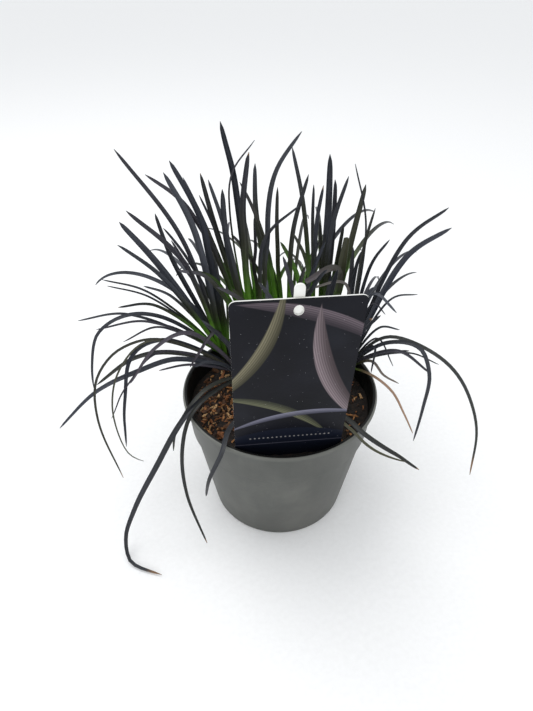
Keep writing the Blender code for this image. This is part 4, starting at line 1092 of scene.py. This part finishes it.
# The brown sheath at each leaf's foot, darkened further as painted shade where the leaves crowd low by the
# soil.
sheath_and_shade_reach = add_node(tree, "Math", [sheath_and_shade_reach, 0.001], operation="MAXIMUM")
sheath_and_shade_rise = add_node(tree, "Math", [along, sheath_and_shade_reach], operation="DIVIDE")
sheath_and_painted_shade = add_node(tree, "MapRange", [sheath_and_shade_rise, 1.3, 0.7, 0.0, 0.9], **smooth)
dry_start = add_node(tree, "Math", [1.0, dry_reach], operation="SUBTRACT")
dry = add_node(tree, "MapRange", [along, dry_start, 1.0, 0.0, 2.0], **smooth)
has_dry = add_node(tree, "Math", [dry_reach, 0.001], operation="GREATER_THAN")
dry = add_node(tree, "Math", [dry, has_dry], operation="MULTIPLY")
dry = add_node(tree, "Math", [dry, 1.0], operation="MINIMUM")

skin = add_node(tree, "ValToRGB", [mottle], stops=[(0.3, "#181a1e"), (0.52, "#24262c"), (0.75, "#34363d")])
green = add_node(tree, "ValToRGB", [mottle], stops=[(0.35, "#49781c"), (0.6, "#62962c"), (0.8, "#88b150")])
# Mixed over the skin: each leaf's tint, partly age and partly a painted sheen, then the painted sheen on the
# veins, the paler edges, olive, green, the sheath with its painted shade, and the dry tip.
for share, colour in [
    (age_and_sheen_tint_share, tint), (painted_sheen_on_veins, linear("#454a58")), (paler_margin, linear("#3f414a")),
    (olive_share, linear("#33361f")), (green_share, green), (sheath_and_painted_shade, linear("#1a1412")),
    (dry, linear("#80644a")),
]:
    skin = add_node(tree, "MixRGB", [share, skin, colour])
wax = add_node(tree, "MapRange", {"Value": mottle, "To Min": 0.28, "To Max": 0.46})
ribs = add_node(tree, "Bump", {"Height": vein_wave, "Strength": 0.35, "Distance": 0.08 * MM})
connect(tree, shader, {"Base Color": skin, "Roughness": wax, "Specular IOR Level": 0.36, "Normal": ribs})

# Odd leaves, by tuft and place in its list: the tint to mix in, how much of it, and how much of
# the tip is dry.
ODD_LEAVES = {
    ("tuft_left_back", 16): ("#3b343a", 0.80, 0.0),
    ("tuft_left", 3): ("#4a434c", 0.80, 0.0),
    ("tuft_left", 0): ("#3a3826", 0.70, 0.03),
    ("tuft_left", 6): ("#4c4b33", 0.70, 0.0),
    ("tuft_left", 8): ("#35373a", 0.60, 0.06),
    ("tuft_left", 10): ("#33342c", 0.60, 0.03),
    ("tuft_front_left", 0): ("#2f3032", 0.70, 0.0),
    ("tuft_front_right", 0): ("#26271f", 0.80, 0.03),
    ("tuft_back_right", 7): ("#4b4c34", 0.75, 0.0),
    ("tuft_back_right", 8): ("#4f474a", 0.85, 0.0),
    ("tuft_right", 9): ("#6a655f", 0.85, 0.0),
    ("tuft_right", 10): ("#34362f", 0.70, 0.09),
    ("tuft_right", 13): ("#a3846c", 1.0, 0.0),
    ("tuft_right", 14): ("#7c7268", 0.90, 0.0),
    ("tuft_front_right", 1): ("#4d4c30", 0.80, 0.0),
}
BROKEN_LEAVES = [("tuft_back_right", 7), ("tuft_back_right", 8)]
# How far up each leaf the dark brown foot runs: its sheath, darkened as painted shade.
SHEATH_AND_SHADE, DRY_TIP_CHANCE, DRY_TIPS = 26 * MM, 0.06, (0.01, 0.03)
# Tints for the other leaves, near black to pale: the olive one for age, the pale blue-grey and mauve-grey
# ones a painted sheen.
PALE_TONES = ["#22262e", "#343842", "#4f525a", "#524f58", "#1c1e22", "#44484f", "#34352c", "#3e3a42"]
CROWN_HEIGHT, CROWN_TONE = 9 * MM, "#2a2218"

# How far up from its root a leaf of each tuft stays green, shortest and longest, in mm.
GREEN_REACH = {
    "tuft_left_back": (32, 66), "tuft_back_left": (60, 95), "tuft_back": (65, 100),
    "tuft_back_right": (65, 100), "tuft_right": (12, 34), "tuft_left": (8, 24),
    "tuft_middle": (50, 80), "tuft_middle_right": (24, 50),
    "tuft_front_left": (8, 25), "tuft_front_right": (8, 25),
}

crowns = [tuple(value * MM for value in tuft["crown"]) for tuft in TUFTS.values()]
leaves = without_crossings(push_apart(all_leaves()), crowns)
draw = random.Random(LEAF_SEED)
for number, (name, crown) in enumerate(zip(TUFTS, crowns)):
    bpy.ops.mesh.primitive_cone_add(
        vertices=24, radius1=CROWN_RADIUS * 0.9, radius2=CROWN_RADIUS * 0.45, depth=CROWN_HEIGHT,
        location=(*crown, SOIL_Z + 0.5 * MM))
    tuft = bpy.context.object
    bpy.ops.object.transform_apply(location=True)
    tuft.name = name + "_leaves"
    paint(tuft, "leaf_kind", (0.0, 0.8, 0.0, 1.0))
    paint(tuft, "leaf_tint", linear(CROWN_TONE))
    tuft.data.materials.append(leaf_skin)
    own = [(width, path) for other, width, path in leaves if other == number]
    blades = []
    for place_in_list, (width, path) in enumerate(own):
        key = (name, place_in_list)
        leaf = leaf_from(width, path, crown, draw, key in BROKEN_LEAVES)
        length = length_of(path)
        green = draw.uniform(*GREEN_REACH[name]) * MM / length
        pale = draw.choice(PALE_TONES)
        colour, share, dry_tip = ODD_LEAVES.get(key, (pale, draw.uniform(0.1, 0.9), 0.0))
        if dry_tip == 0.0 and draw.random() < DRY_TIP_CHANCE:
            dry_tip = draw.uniform(*DRY_TIPS)
        paint(leaf, "leaf_kind", (green, share, dry_tip, SHEATH_AND_SHADE / length))
        paint(leaf, "leaf_tint", linear(colour))
        leaf.data.materials.append(leaf_skin)
        blades.append(leaf)
    bpy.ops.object.select_all(action="DESELECT")
    for leaf in blades + [tuft]:
        leaf.select_set(True)
    bpy.context.view_layer.objects.active = tuft
    bpy.ops.object.join()
    tuft.select_set(False)
    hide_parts(name)
    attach(tuft, "root")
bpy.data.objects.remove(blade, do_unlink=True)
